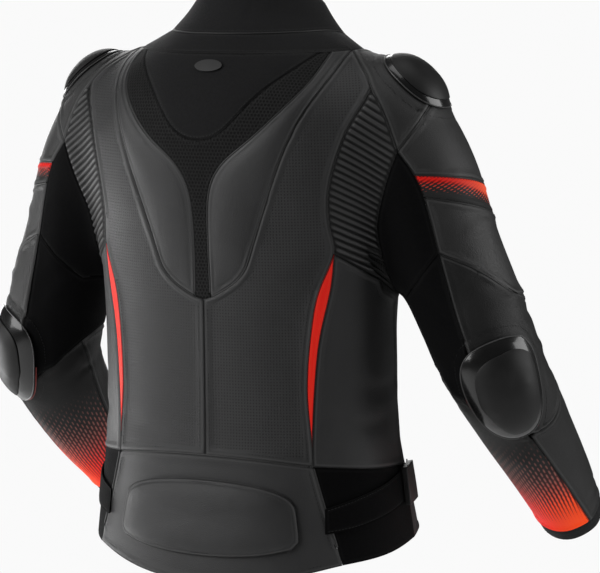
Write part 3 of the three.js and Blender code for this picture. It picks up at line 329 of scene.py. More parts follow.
def spread(tree, value, middle, low=0.0, high=1.0, down=0.05, up=0.05):  # a little below and above a middle
    return ramp(tree, value, low, high, middle - down, middle + up)


def blendColors(tree, factor, first, second):
    return addNode(tree, "ShaderNodeMix", {0: factor, 6: first, 7: second}, data_type="RGBA").outputs[2]


def cover(tree, color, mask, strength, paint):  # lays a paint over a color where a mask shows
    return blendColors(tree, calculate(tree, "MULTIPLY", mask, strength), color, paint)


def noise(tree, place, scale, detail):
    inputs = {"Vector": place, "Scale": scale, "Detail": detail}
    return addNode(tree, "ShaderNodeTexNoise", inputs).outputs["Fac"]


def fromMiddle(tree, value):  # place within its own cell, from -0.5 to 0.5
    return calculate(tree, "SUBTRACT", calculate(tree, "FRACT", value), 0.5)


def oddRow(tree, value):  # 0 and 1 by turns
    return calculate(tree, "FLOORED_MODULO", calculate(tree, "FLOOR", value), 2.0)


def lengthOf(tree, x, y):
    spot = addNode(tree, "ShaderNodeCombineXYZ", {"X": x, "Y": y})
    return addNode(tree, "ShaderNodeVectorMath", {0: spot.outputs[0]}, operation="LENGTH").outputs["Value"]


def newGroup(name, outputs, **inputs):  # shader group. An input that is None is a vector
    group = bpy.data.node_groups.new(name, "ShaderNodeTree")
    for socket, start in inputs.items():
        kind = "NodeSocketVector" if start is None else "NodeSocketFloat"
        made = group.interface.new_socket(name=socket, in_out="INPUT", socket_type=kind)
        if start is not None:
            made.default_value = start
    for socket in outputs:
        group.interface.new_socket(name=socket, in_out="OUTPUT", socket_type="NodeSocketFloat")
    return group, group.nodes.new("NodeGroupInput").outputs


def useGroup(tree, name, inputs):
    return addNode(tree, "ShaderNodeGroup", inputs, node_tree=groups[name]).outputs


def grainGroup():  # pebbled leather grain with slow changes of tone
    group, given = newGroup("leatherGrain", ("Height", "Tone"), Place=None, Cells=700.0)
    place = given["Place"]
    cells = addNode(
        group, "ShaderNodeTexVoronoi", {"Vector": place, "Scale": given["Cells"]}, feature="DISTANCE_TO_EDGE")
    pebble = ramp(group, cells.outputs["Distance"], 0.0, 0.35)
    addNode(group, "NodeGroupOutput", {
        "Height": calculate(group, "MULTIPLY_ADD", noise(group, place, 260.0, 2.0), 0.8, pebble),
        "Tone": ramp(group, noise(group, place, 14.0, 4.0), 0.3, 0.7),
    })
    return group


def seamGroup():  # painted shade as a dark line in the seam, and a lighter line on the turned edge beside it, partly wear and partly painted highlight
    group, given = newGroup("seamShade", ("Groove", "WearAndHighlight"), Reach=0.02, Line=0.0012, Rub=0.003)
    share = calculate(group, "DIVIDE", given["Reach"], given["Line"])
    away = calculate(group, "ABSOLUTE", calculate(group, "SUBTRACT", given["Reach"], given["Rub"]))
    band = calculate(group, "DIVIDE", away, given["Line"])
    addNode(group, "NodeGroupOutput", {
        "Groove": ramp(group, share, 0.4, 1.6, 1.0, 0.0),
        "WearAndHighlight": ramp(group, band, 0.2, 1.5, 1.0, 0.0),
    })
    return group


def holesGroup():  # punched holes in rows, from the flat pattern
    group, given = newGroup(
        "punchedHoles", ("Hole", "Height"), Pattern=None, Pitch=0.004, Size=0.3, Stagger=0.0)
    split = addNode(group, "ShaderNodeSeparateXYZ", {0: given["Pattern"]}).outputs
    across, along = (calculate(group, "DIVIDE", split[axis], given["Pitch"]) for axis in "XY")
    moved = calculate(group, "MULTIPLY", oddRow(group, along), given["Stagger"])
    across = calculate(group, "ADD", across, moved)
    length = lengthOf(group, fromMiddle(group, across), fromMiddle(group, along))
    hole = ramp(group, calculate(group, "DIVIDE", length, given["Size"]), 0.75, 1.15, 1.0, 0.0)
    addNode(group, "NodeGroupOutput", {"Hole": hole, "Height": calculate(group, "SUBTRACT", 1.0, hole)})
    return group


def halftoneGroup():  # columns of dashes that grow as Fill rises from 0 to 1, and the dark lines between them
    group, given = newGroup(
        "halftoneFade", ("Ink", "Line"), Pattern=None, Fill=0.5, Across=0.004, Along=0.008, Slant=0.0)
    split = addNode(group, "ShaderNodeSeparateXYZ", {0: given["Pattern"]}).outputs
    leaning = calculate(group, "MULTIPLY_ADD", split["Y"], given["Slant"], split["X"])
    across = calculate(group, "DIVIDE", leaning, given["Across"])
    along = calculate(group, "DIVIDE", split["Y"], given["Along"])
    along = calculate(group, "MULTIPLY_ADD", oddRow(group, across), 0.5, along)
    column, row = fromMiddle(group, across), fromMiddle(group, along)
    width = calculate(group, "MULTIPLY_ADD", given["Fill"], 0.26, 0.1)
    height = calculate(group, "MULTIPLY_ADD", given["Fill"], 0.7, 0.08)
    shares = [calculate(group, "DIVIDE", *pair) for pair in ((column, width), (row, height))]
    length = lengthOf(group, *shares)
    border = calculate(group, "SUBTRACT", 0.5, calculate(group, "ABSOLUTE", column))
    lineWidth = calculate(group, "MULTIPLY", calculate(group, "SUBTRACT", 1.03, given["Fill"]), 0.34)
    addNode(group, "NodeGroupOutput", {
        "Ink": ramp(group, length, 0.75, 1.2, 1.0, 0.0),
        "Line": ramp(group, calculate(group, "DIVIDE", border, lineWidth), 0.5, 1.2, 1.0, 0.0),
    })
    return group


groups = dict(grain=grainGroup(), seam=seamGroup(), holes=holesGroup(), halftone=halftoneGroup())


def grey(value, tint=(1.0, 1.0, 1.0)):
    return tuple(value * part for part in tint) + (1.0,)


def startMaterial(name):
    material = bpy.data.materials.new(name)
    material.use_nodes = True
    tree = material.node_tree
    tree.nodes.clear()
    shader = addNode(tree, "ShaderNodeBsdfPrincipled")
    addNode(tree, "ShaderNodeOutputMaterial", {"Surface": shader.outputs[0]})
    return material, tree, shader, addNode(tree, "ShaderNodeTexCoord").outputs["Object"]


def finishShader(tree, shader, color, rough, height, depth, others):
    bump = addNode(tree, "ShaderNodeBump", {"Height": height, "Distance": depth})
    normal = bump.outputs["Normal"]
    setInputs(tree, shader, {"Base Color": color, "Roughness": rough, "Normal": normal, **others})


def attribute(tree, name, output="Fac"):
    return addNode(tree, "ShaderNodeAttribute", attribute_name=name).outputs[output]


def seamMasks(tree, line, rub):  # distance from the seam, the painted shade of its groove, and its lighter edge line of wear and painted highlight
    reach = attribute(tree, "seamReach")
    seam = useGroup(tree, "seam", {"Reach": reach, "Line": line, "Rub": rub})
    return reach, seam["Groove"], seam["WearAndHighlight"]


def leatherMaterial(name, looks, holes=None):
    material, tree, shader, place = startMaterial(name)
    grain = useGroup(tree, "grain", {"Place": place, "Cells": looks["cells"]})
    reach, groove, wearAndHighlight = seamMasks(tree, looks["line"], looks["rub"])
    color = blendColors(tree, grain["Tone"], looks["dark"], looks["light"])
    # the turned edge is lightened, partly as wear and partly as painted highlight
    color = cover(tree, color, wearAndHighlight, looks["wearAndHighlight"], looks["worn"])
    height = grain["Height"]
    if holes:
        pattern = addNode(tree, "ShaderNodeUVMap", uv_map="cut").outputs[0]
        punched = useGroup(
            tree, "holes", {"Pattern": pattern, "Pitch": holes["pitch"], "Size": holes["size"]})
        clear = ramp(tree, reach, holes["margin"], holes["margin"] + 0.5 * mm)
        hole = calculate(tree, "MULTIPLY", punched["Hole"], clear)
        color = cover(tree, color, hole, holes["darkness"], holes["color"])
        height = calculate(tree, "MULTIPLY_ADD", hole, -holes["depth"], height)
    # painted shade: the seam groove is darkened
    color = cover(tree, color, groove, looks["groove"], grey(0.003))
    others = {"Specular IOR Level": looks["gloss"]}
    if looks["glow"]:  # painted glow: emission that stands in for more light on the red
        others.update({"Emission Color": color, "Emission Strength": looks["glow"]})
    rough = spread(tree, grain["Tone"], looks["roughness"], down=0.04)
    finishShader(tree, shader, color, rough, height, looks["grainDepth"], others)
    return material


def clothMaterial(name, looks):  # knitted or foamed cloth with a fine weave
    material, tree, shader, place = startMaterial(name)
    groove, wearAndHighlight = seamMasks(tree, looks["line"], looks["rub"])[1:]
    pattern = addNode(tree, "ShaderNodeUVMap", uv_map="cut").outputs[0] if looks["onPattern"] else place
    weave = useGroup(tree, "holes", {
        "Pattern": pattern, "Pitch": looks["pitch"], "Size": looks["size"], "Stagger": 0.5})
    fuzz = noise(tree, place, 420.0, 3.0)
    slow = noise(tree, place, 11.0, 3.0)
    color = blendColors(tree, ramp(tree, slow, 0.3, 0.7), looks["dark"], looks["light"])
    color = cover(tree, color, weave["Hole"], looks["holeShade"], grey(0.002))
    # the turned edge is lightened, partly as wear and partly as painted highlight
    color = cover(tree, color, wearAndHighlight, looks["wearAndHighlight"], looks["worn"])
    # painted shade: the seam groove is darkened
    color = cover(tree, color, groove, 0.8, grey(0.002))
    height = calculate(tree, "MULTIPLY_ADD", fuzz, 0.4, weave["Height"])
    rough = spread(tree, fuzz, looks["roughness"], 0.3, 0.7)
    finishShader(tree, shader, color, rough, height, looks["weaveDepth"], {
        "Specular IOR Level": looks["gloss"], "Sheen Weight": looks["sheen"], "Sheen Roughness": 0.5})
    return material


# Halftone fade printed on black leather: solid ink at one end, then stripes, then dashes, then bare leather
def printMaterial(name, looks):
    material, tree, shader, place = startMaterial(name)
    grain = useGroup(tree, "grain", {"Place": place, "Cells": 650.0})
    groove = seamMasks(tree, 1 * mm, 3 * mm)[1]
    pattern = attribute(tree, "printPlace", "Vector")
    split = addNode(tree, "ShaderNodeSeparateXYZ", {0: pattern}).outputs
    inward = ramp(tree, split["X"], looks["outer"], looks["inner"])
    fade = addNode(tree, "ShaderNodeMapRange", {
        "Value": split["Y"], "From Min": looks["bare"], "From Max": looks["solid"]})
    drift = calculate(tree, "MULTIPLY", calculate(tree, "SUBTRACT", inward, 0.5), looks["skew"])
    fill = calculate(tree, "ADD", fade.outputs[0], drift, clamp=True)
    dashes = useGroup(tree, "halftone", {
        "Pattern": pattern, "Fill": fill, "Across": looks["across"], "Along": looks["along"],
        "Slant": looks["slant"]})
    ground = blendColors(tree, ramp(tree, fill, *looks["deepRange"]), looks["black"], looks["deep"])
    bright = blendColors(tree, inward, looks["outerInk"], looks["innerInk"])
    ground = blendColors(tree, ramp(tree, fill, *looks["brightRange"]), ground, bright)
    ground = cover(tree, ground, dashes["Line"], looks["lines"], looks["black"])
    shown = calculate(tree, "MULTIPLY", dashes["Ink"], ramp(tree, fill, *looks["dashStart"]))
    shown = calculate(tree, "MULTIPLY", shown, ramp(tree, fill, *looks["dashEnd"], 1.0, 0.0))
    dash = blendColors(tree, ramp(tree, fill, *looks["dashRange"]), looks["dashInk"], bright)
    # painted shade: the seam groove is darkened over the print
    color = cover(tree, blendColors(tree, shown, ground, dash), groove, 0.9, grey(0.004))
    height = calculate(tree, "MULTIPLY_ADD", dashes["Ink"], 0.25, grain["Height"])
    # painted glow: the print's colour is also emitted, standing in for more light
    finishShader(tree, shader, color, spread(tree, grain["Tone"], looks["roughness"]), height, 0.08 * mm, {
        "Emission Color": color, "Emission Strength": looks["glow"], "Specular IOR Level": looks["gloss"]})
    return material


def hardMaterial(name, looks):  # moulded plastic or metal with a fine surface
    material, tree, shader, place = startMaterial(name)
    slow = noise(tree, place, 30.0, 4.0)
    color = blendColors(tree, ramp(tree, slow, 0.45, 0.75), looks["dark"], looks["light"])
    rough = spread(tree, slow, looks["roughness"], 0.3, 0.7, 0.03, 0.06)
    finishShader(tree, shader, color, rough, noise(tree, place, looks["fine"], 3.0), looks["depth"], {
        "Metallic": looks["metal"], "Specular IOR Level": looks["gloss"], "Coat Weight": looks["coat"],
        "Coat Roughness": 0.05})
    return material


def ribMaterial(name, looks):  # ribs are leather on top, with painted shade darkening the troughs
    material, tree, shader, place = startMaterial(name)
    grain = useGroup(tree, "grain", {"Place": place, "Cells": looks["cells"]})
    rib = attribute(tree, "rib")
    color = blendColors(tree, grain["Tone"], looks["dark"], looks["light"])
    # painted shade: the troughs between the ribs are darkened to near black
    color = blendColors(tree, ramp(tree, rib, 0.4, 0.9), grey(0.002), color)
    finishShader(tree, shader, color, ramp(tree, rib, 0.2, 1.0, 0.8, 0.45), grain["Height"], 0.08 * mm, {})
    return material


# In these looks, groove darkens the seam line as painted shade, and the edge line beside it is lightened,
# partly as wear and partly as painted highlight.
leatherLooks = dict(
    cells=620.0, dark=grey(0.024, (1, 1, 1.02)), light=grey(0.032, (1, 1, 1.02)), worn=grey(0.075),
    wearAndHighlight=0.38, groove=0.95, line=1 * mm, rub=3 * mm, roughness=0.52, gloss=0.42, grainDepth=0.12 * mm,
    glow=0.0,
)
backHoles = dict(pitch=0.0036, size=0.27, margin=0.0085, darkness=0.9, depth=1.8, color=grey(0.003))
redLooks = dict(
    leatherLooks, dark=(0.86, 0.010, 0.004, 1), light=(0.95, 0.016, 0.006, 1), worn=(0.95, 0.05, 0.02, 1),
    wearAndHighlight=0.3, gloss=0.3, glow=0.12,
)
neopreneLooks = dict(
    dark=grey(0.0060, (1, 1, 1.08)), light=grey(0.0080, (1, 1, 1.08)), worn=grey(0.02), wearAndHighlight=0.3,
    line=1.4 * mm, rub=3.5 * mm, roughness=0.8, gloss=0.2, sheen=0.03, onPattern=True, pitch=1.2 * mm,
    size=0.42, holeShade=0.2, weaveDepth=0.06 * mm,
)
meshLooks = dict(
    neopreneLooks, dark=grey(0.010), light=grey(0.015), pitch=4.2 * mm, size=0.36, holeShade=1.0,
    weaveDepth=0.6 * mm, sheen=0.0,
)
stretchLooks = dict(
    neopreneLooks, dark=grey(0.0014, (1, 1, 1.15)), light=grey(0.0022, (1, 1, 1.15)), gloss=0.07, wearAndHighlight=0.12,
    pitch=1.6 * mm, weaveDepth=0.1 * mm, sheen=0.02,
)
liningLooks = dict(
    neopreneLooks, dark=grey(0.008), light=grey(0.014), onPattern=False, pitch=3 * mm, size=0.3,
    holeShade=0.8, weaveDepth=0.3 * mm,
)
forearmLooks = dict(
    across=4.7 * mm, along=12.5 * mm, slant=0.0, skew=0.0, roughness=0.55, gloss=0.16, glow=0.32, lines=0.9,
    black=grey(0.006), outer=-0.045, inner=0.03, bare=0.245, solid=0.008,
    deep=(0.13, 0.001, 0.001, 1), deepRange=(0.3, 0.76), brightRange=(0.66, 0.97),
    outerInk=(1.0, 0.065, 0.003, 1), innerInk=(0.80, 0.008, 0.005, 1), dashInk=(0.20, 0.075, 0.06, 1),
    dashRange=(0.45, 0.85), dashStart=(0.08, 0.55), dashEnd=(0.75, 0.95),
)
bandLooks = dict(
    forearmLooks, across=5.6 * mm, along=3.3 * mm, slant=-1.7, skew=-0.55, glow=0.2, lines=0.35,
    black=grey(0.018), bare=28 * mm, solid=4 * mm, outer=-0.06, inner=0.05,
    deepRange=(0.45, 0.65), brightRange=(0.55, 0.75),
    outerInk=(1.0, 0.16, 0.07, 1), innerInk=(0.68, 0.004, 0.003, 1), dashInk=(0.45, 0.06, 0.035, 1),
    dashRange=(0.0, 1.0), dashStart=(0.05, 0.3), dashEnd=(0.8, 1.0),
)
plainShell = dict(coat=0.0, metal=0.0, fine=1400.0, depth=0.00003)
cupLooks = dict(
    plainShell, dark=grey(0.006), light=grey(0.009), roughness=0.2, gloss=0.5, coat=0.35, fine=900.0,
    depth=0.01 * mm,
)
plateLooks = dict(plainShell, dark=grey(0.010), light=grey(0.014), roughness=0.5, gloss=0.32)
# the cup rims are light grey as a painted highlight on their black edge
rimHighlightLooks = dict(plainShell, dark=grey(0.05), light=grey(0.07), roughness=0.3, gloss=0.5)
badgeLooks = dict(plainShell, dark=grey(0.035), light=grey(0.045), roughness=0.6, gloss=0.3)
metalLooks = dict(plainShell, dark=grey(0.03), light=grey(0.06), roughness=0.32, gloss=0.5, metal=1.0)
threadLooks = dict(
    plainShell, dark=grey(0.006), light=grey(0.011), roughness=0.6, gloss=0.35, fine=3000.0, depth=0.0001)
pipingLooks = dict(
    plainShell, dark=grey(0.018), light=grey(0.027), roughness=0.5, gloss=0.4, fine=900.0, depth=0.00006)

materials = dict(
    leather=leatherMaterial("leather", leatherLooks),
    sleeveLeather=leatherMaterial("sleeveLeather", dict(leatherLooks, dark=grey(0.020), light=grey(0.027))),
    lowerSleeve=leatherMaterial(
        "lowerSleeveLeather", dict(leatherLooks, dark=grey(0.012), light=grey(0.017), gloss=0.3)),
    perforated=leatherMaterial("perforatedLeather", leatherLooks, backHoles),
    red=leatherMaterial("redLeather", redLooks),
    ribbed=ribMaterial("ribbedLeather", dict(cells=700.0, dark=grey(0.03), light=grey(0.045))),
    forearmPrint=printMaterial("forearmPrint", forearmLooks),
    bandPrint=printMaterial("bandPrint", bandLooks),
    neoprene=clothMaterial("neoprene", neopreneLooks),
    airMesh=clothMaterial("airMesh", meshLooks),
    stretch=clothMaterial("stretchCloth", stretchLooks),
    lining=clothMaterial("meshLining", liningLooks),
    cup=hardMaterial("glossyCup", cupLooks),
    cupRim=hardMaterial("cupRim", rimHighlightLooks),
    plate=hardMaterial("satinPlate", plateLooks),
    badge=hardMaterial("badgePrint", badgeLooks),
    metal=hardMaterial("blackMetal", metalLooks),
    thread=hardMaterial("thread", threadLooks),
    piping=hardMaterial("piping", pipingLooks),
    redPiping=hardMaterial(
        "redPiping", dict(pipingLooks, dark=(0.22, 0.02, 0.015, 1), light=(0.32, 0.04, 0.03, 1))),
)
print("materials made:", len(materials))


# Soft folds of the worn cloth, in mm, as path, depth and width. A negative depth raises a ridge.
# Arm folds give places as distance along the arm in mm and turn round it in degrees
# (0 outward, 90 at the back, -90 in front), and trunk folds as x, y, z in mm.
armFolds = [
    ([(214, -30), (216, 8), (216, 46)], -2.2, 8),
    ([(302, -34), (309, 2), (303, 44)], -3.0, 8),
    ([(322, -48), (330, -20), (328, 14)], 2.2, 8),
    ([(362, -58), (371, -30), (366, -4)], -2.0, 8),
    ([(352, 175), (372, 142), (392, 112)], 3.4, 7),
    ([(384, 190), (398, 150), (412, 122)], 2.4, 6),
    ([(372, -160), (384, -112), (380, -62)], 3.2, 8),
    ([(398, -170), (406, -110), (402, -48)], 4.0, 8),
    ([(424, -150), (428, -100), (420, -58)], 3.0, 8),
    ([(446, -140), (452, -96), (446, -66)], 2.2, 8),
    ([(196, -118), (222, -90), (240, -58)], 2.4, 12),
    ([(150, -104), (176, -92), (196, -70)], 2.0, 12),
    ([(262, 112), (290, 96), (312, 84)], 1.8, 10),
    ([(470, -40), (520, -28), (574, -30)], 1.6, 12),
    ([(612, -90), (620, -30), (616, 20)], 1.6, 8),
    ([(596, 150), (604, 196), (600, 240)], 1.6, 8),
    ([(560, -120), (590, -100), (628, -104)], 1.6, 9),
]
trunkFolds = [
    ([(156, 84, -432), (176, 44, -444), (184, 0, -440)], 2.4, 11),
    ([(170, 66, -392), (180, 20, -404), (178, -30, -398)], 1.8, 13),
    ([(118, 104, -446), (84, 114, -456), (52, 119, -452)], 1.3, 11),
    ([(172, -50, -262), (140, -88, -300), (104, -98, -352)], 3.4, 13),
    ([(158, -70, -222), (128, -98, -250), (92, -106, -300)], 2.4, 12),
    ([(174, -42, -420), (140, -84, -446), (84, -108, -456)], 3.0, 12),
    ([(178, -40, -470), (140, -94, -492), (70, -124, -496)], 2.6, 11),
    ([(150, -98, -536), (104, -128, -548), (52, -140, -542)], 2.0, 11),
    ([(64, -116, -120), (90, -118, -168), (98, -112, -210)], 1.8, 15),
    ([(-30, 47, 56), (-27, 54, 40), (-29, 64, 24)], 1.2, 6),
    ([(62, -84, 44), (68, -80, 24), (74, -80, 8)], 1.4, 7),
]
unevenSides = dict(left=0.85, right=1.0)  # how deep the folds of each side are


def armFrame(along):  # centre, radius, and the outward and backward directions of the left sleeve
    centre, radius = armRow(along)
    span = min(np.searchsorted(armLength, along, side="right"), len(armLength) - 1)
    axis = unit(armTable[span, :3] - armTable[span - 1, :3])
    outward = unit(np.array((1.0, 0, 0)) - axis * axis[0])
    backward = np.cross(outward, axis)
    return centre, radius, outward, backward * np.sign(backward[1])


def armPlace(along, turn, sign):  # a point on the sleeve
    centre, radius, outward, backward = armFrame(along * mm)
    angle = math.radians(turn)
    return (centre + radius * (outward * math.cos(angle) + backward * math.sin(angle))) * (sign, 1, 1)


def curveThrough(places, count=14):  # a smooth line through three or more places
    places = np.array(places, float)
    steps = np.linalg.norm(np.diff(places, axis=0), axis=1)
    at = np.concatenate([[0], np.cumsum(steps)]) / steps.sum()
    fit = np.polynomial.polynomial.polyfit(at, places, min(2, len(places) - 1))
    return np.polynomial.polynomial.polyval(np.linspace(0, 1, count), fit).T


folds = []
for side, sign in signs.items():
    laid = [([armPlace(*place, sign) for place in path], *shape) for path, *shape in armFolds]
    for path, *shape in trunkFolds:
        if side == "left" or path[0][0] > 0:  # the one on the middle of the collar is laid once
            laid.append(([np.array(place) * (sign, 1, 1) * mm for place in path], *shape))
    for places, depth, width in laid:
        folds.append((curveThrough(places), depth * mm * unevenSides[side], width * mm))
foldShape = dict(flat=0.85, ends=0.8, dip=0.55, fade=0.75)


def nearTo(points, line, reach):  # which points lie near a line, and their way from each place on it
    low, high = line.min(axis=0) - reach, line.max(axis=0) + reach
    near = np.flatnonzero(((points > low) & (points < high)).all(axis=1))
    return near, points[near, None, :] - line[None]


def foldDepth(points, normals):  # how far each point is drawn in by the folds near it
    total = np.zeros(len(points))
    for path, depth, width in folds:
        near, away = nearTo(points, path, 3 * width)
        if not len(near):
            continue
        lift = (away * normals[near, None, :]).sum(axis=2)
        flatReach = (away ** 2).sum(axis=2) - foldShape["flat"] * lift ** 2
        at = flatReach.argmin(axis=1)
        share = np.sqrt(np.maximum(flatReach[np.arange(len(near)), at], 0)) / width
        ends = np.sin(np.pi * np.clip((at + 0.5) / len(path), 0, 1)) ** foldShape["ends"]
        sameSide = (normals[near] * awayFromInside(path)[at]).sum(axis=1) > 0
        profile = (1 - foldShape["dip"] * share ** 2) * np.exp(-foldShape["fade"] * share ** 2)
        total[near] += depth * ends * sameSide * profile
    return total


print("folds laid:", len(folds))

upward = (0, 0, 1)
cloth = {}  # node name: what was made for it


def sewCloth(node, cut):
    piece = copyNode(node, node + "_cloth")
    markSkins(piece)
    creaseBorders(piece, cut.get("corner", 32))
    size, area = layFlat(piece, cut.get("up", upward))
    if cut.get("ribs"):
        dropRibs(piece, cut["wall"])
    applyModifier(piece, "SUBSURF", levels=cut["level"], render_levels=cut["level"])
    mesh = piece.data
    centres = faceData(mesh)[0]
    onSkin = faceSlots(mesh) == outside
    near = onSkin.copy()
    near[onSkin] = borderReach(mesh, centres[onSkin]) < cut["fine"]
    if near.any():
        pickOnly(piece)
        selectFaces(piece, near)
        bpy.ops.object.mode_set(mode="EDIT")
        bpy.ops.mesh.subdivide(number_cuts=1)
        bpy.ops.object.mode_set(mode="OBJECT")
    cloth[node] = dict(piece=piece, cut=cut, size=size, area=area)
    return piece


def dropRibs(piece, wall):  # lays the solid's coarse ribs flat on the wall under them
    mesh = piece.data
    places = vertexPlaces(mesh)
    tree = faceTree(mesh, lining)
    for i in np.flatnonzero(outsideNormals(mesh)[1]):
        foot, _, _, reach = tree.find_nearest(Vector(places[i]))
        places[i] -= np.array((Vector(places[i]) - foot).normalized()) * max(reach - wall, 0)
    setPlaces(mesh, places)


def smoothStep(value, low, high):
    t = np.clip((value - low) / (high - low), 0, 1)
    return t * t * (3 - 2 * t)


seamShape = dict(fade=2.5 * mm, thread=0.9 * mm)


def turnedEdge(reach, cut):  # height near a seam: rolled edge, raised welt, stitched groove
    roll, welt, groove = cut["roll"], cut["welt"], cut["groove"]
    height = -roll[0] * (1 - smoothStep(reach, 0, roll[1]))
    weltEnd = smoothStep(reach, welt[1], welt[1] + seamShape["fade"])
    height += welt[0] * smoothStep(reach, 0, roll[1]) * (1 - weltEnd)
    for at in cut["rows"]:
        height -= groove * np.exp(-(((reach - at) / seamShape["thread"]) ** 2))
    return height


def outlineOf(mesh):  # loops round the outside: places, outward directions, and directions into the piece
    places = vertexPlaces(mesh)
    normals = outsideNormals(mesh)[0]
    links = {}
    for a, b in borderEdges(mesh):
        links.setdefault(a, []).append(b)
        links.setdefault(b, []).append(a)
    centres = faceData(mesh)[0]
    slots = faceSlots(mesh)
    vertexOf, faceOf = loopData(mesh)
    inner = {}
    for vertex, face in zip(vertexOf, faceOf):
        if slots[face] == outside and vertex in links:
            inner.setdefault(vertex, []).append(face)
    loops = []
    left = set(links)
    while left:
        start = min(left)
        loop = [start]
        left.discard(start)
        while True:
            ahead = [v for v in links[loop[-1]] if v in left]
            if not ahead:
                break
            loop.append(ahead[0])
            left.discard(ahead[0])
        if len(loop) < 8:
            continue
        line, up = places[loop], normals[loop]
        tangent = np.roll(line, -1, axis=0) - np.roll(line, 1, axis=0)
        tangent /= np.linalg.norm(tangent, axis=1)[:, None] + 1e-12
        inward = np.cross(up, tangent)
        toward = np.array([centres[inner[v]].mean(axis=0) for v in loop]) - line
        inward *= np.sign((inward * toward).sum())
        loops.append(dict(line=line, up=up, inward=inward))
    return loops


# Hard shells on the shoulders and elbows. Their outlines also shape the leather round them
shellLooks = dict(
    shoulder_cup=("cup", "cup_plastic"), shoulder_plate=("plate", "plate_plastic"),
    elbow_cup=("cup", "cup_plastic"), elbow_plate=("plate", "plate_plastic"), yoke_badge=("badge", "badge"),
)
cupRing = dict(tall=1.5 * mm, wide=9 * mm, groove=13.5 * mm, deep=0.9 * mm, row=12.5 * mm, reach=20 * mm)
shells = {}
cupLines = []  # outlines of the cups
shellLines = {}  # outline of each shell


def castShell(node, look, slot, bevel=0.9 * mm):
    piece = copyNode(node, node + "_shell")
    markSkins(piece)
    creaseBorders(piece)
    applyModifier(piece, "SUBSURF", levels=2, render_levels=2)
    shellLines[node] = max(outlineOf(piece.data), key=lambda loop: len(loop["line"]))
    if "cup" in node:
        cupLines.append(dict(shellLines[node], node=node))
    applyModifier(
        piece, "BEVEL", width=bevel, segments=3, limit_method="ANGLE", angle_limit=math.radians(50))
    smoothFaces(piece.data)
    piece.data.polygons.foreach_set("material_index", np.zeros(len(piece.data.polygons), int))
    piece.data.materials.clear()
    piece.data.materials.append(materials[look])
    shells[node] = (piece, slot)


for side in signs:
    for name in ("shoulder_cup", "shoulder_plate", "elbow_cup", "elbow_plate"):
        castShell(f"{name}_{side}", *shellLooks[name])
castShell("yoke_badge", *shellLooks["yoke_badge"], bevel=0.2 * mm)

# Each elbow plate is cut to a shield: turns run round its middle, 0 down the arm and 90 outward
shield = dict(
    down=(0.07, -0.43, -0.9),
    turns=(-180, -140, -105, -80, -55, -30, -10, 30, 120, 160, 180),
    share=(0.87, 0.86, 0.86, 0.88, 0.84, 0.86, 0.97, 1.0, 1.0, 0.92, 0.87),
)


def facing(node, downward):  # middle of a shell, its outward direction and two directions across it
    loop = shellLines[node]
    up = unit(loop["up"].mean(axis=0))
    down = unit(np.array(downward, float) - up * (np.array(downward, float) @ up))
    return loop["line"].mean(axis=0), up, down, np.cross(up, down)


def cutShield(side, sign):
    plate = shells[f"elbow_plate_{side}"][0].data
    middle, up, down, out = facing(f"elbow_cup_{side}", (shield["down"][0] * sign, *shield["down"][1:]))
    dome = faceTree(shells[f"elbow_cup_{side}"][0].data)
    places = vertexPlaces(plate)
    along, across = (places - middle) @ down, (places - middle) @ (out * -sign)
    share = np.interp(np.degrees(np.arctan2(across, along)), shield["turns"], shield["share"]) - 1
    moved = places + np.outer(share * along, down) + np.outer(share * across, out * -sign)
    for i, (old, new) in enumerate(zip(places, moved)):
        hits = [dome.ray_cast(Vector(spot + up * 0.05), Vector(-up))[0] for spot in (old, new)]
        if None not in hits:
            moved[i] += up * (np.array(hits[1] - hits[0]) @ up)
    setPlaces(plate, moved)


def stretchBadge(node, share):
    badge = shells[node][0].data
    middle, _, down, _ = facing(node, (0, 0, -1))
    places = vertexPlaces(badge)
    setPlaces(badge, places + np.outer((share - 1) * ((places - middle) @ down), down))


for side, sign in signs.items():
    cutShield(side, sign)
stretchBadge("yoke_badge", 1.45)
print("shells cast:", len(shells))


def ringHeight(points):  # the leather is raised in a ring round each cup
    height = np.zeros(len(points))
    for loop in cupLines:
        near, away = nearTo(points, loop["line"], cupRing["reach"])
        if not len(near):
            continue
        at = (away ** 2).sum(axis=2).argmin(axis=1)
        step = away[np.arange(len(near)), at]
        reach = -(step * loop["inward"][at]).sum(axis=1)
        rise = smoothStep(reach, -4 * mm, 0)
        rise *= 1 - smoothStep(reach, cupRing["wide"], cupRing["wide"] + 3.5 * mm)
        dent = np.exp(-(((reach - cupRing["groove"]) / (1.6 * mm)) ** 2))
        height[near] += cupRing["tall"] * rise - cupRing["deep"] * dent
    return height


def shapeCloth(node):
    mesh, cut = cloth[node]["piece"].data, cloth[node]["cut"]
    places = vertexPlaces(mesh)
    normals, onSkin = outsideNormals(mesh)
    skin = np.flatnonzero(onSkin)
    reach = np.full(len(places), 0.03)
    reach[skin] = borderReach(mesh, places[skin])
    shift = np.zeros((len(places), 3))
    depth = foldDepth(places[skin], normals[skin])
    shift[skin] = -normals[skin] * depth[:, None]
    if np.abs(depth).max() > 0.02 * mm:
        tree = pointTree(places[skin], skin)
        for i in np.flatnonzero(~onSkin):
            shift[i] = shift[tree.find(places[i])[1]]
    height = turnedEdge(reach[skin], cut) + ringHeight(places[skin])
    if cut.get("ribs"):
        ribs = cut["ribs"]
        fall = places[skin, 2] + ribs["slope"] * np.abs(places[skin, 0])
        crest = 1 - np.abs(2 * (fall / ribs["pitch"] % 1) - 1) ** ribs["roundness"]
        crest *= smoothStep(reach[skin], 0.5 * mm, 4 * mm)
        height += ribs["height"] * crest
        rib = np.zeros(len(places))
        rib[skin] = crest
        markValues(mesh, "rib", rib)
    if cut.get("crown"):
        height += cut["crown"][0] * smoothStep(reach[skin], 0, cut["crown"][1])
    places += shift
    places[skin] += normals[skin] * height[:, None]
    markValues(mesh, "seamReach", reach)
    smoothFaces(mesh)
    setPlaces(mesh, places)


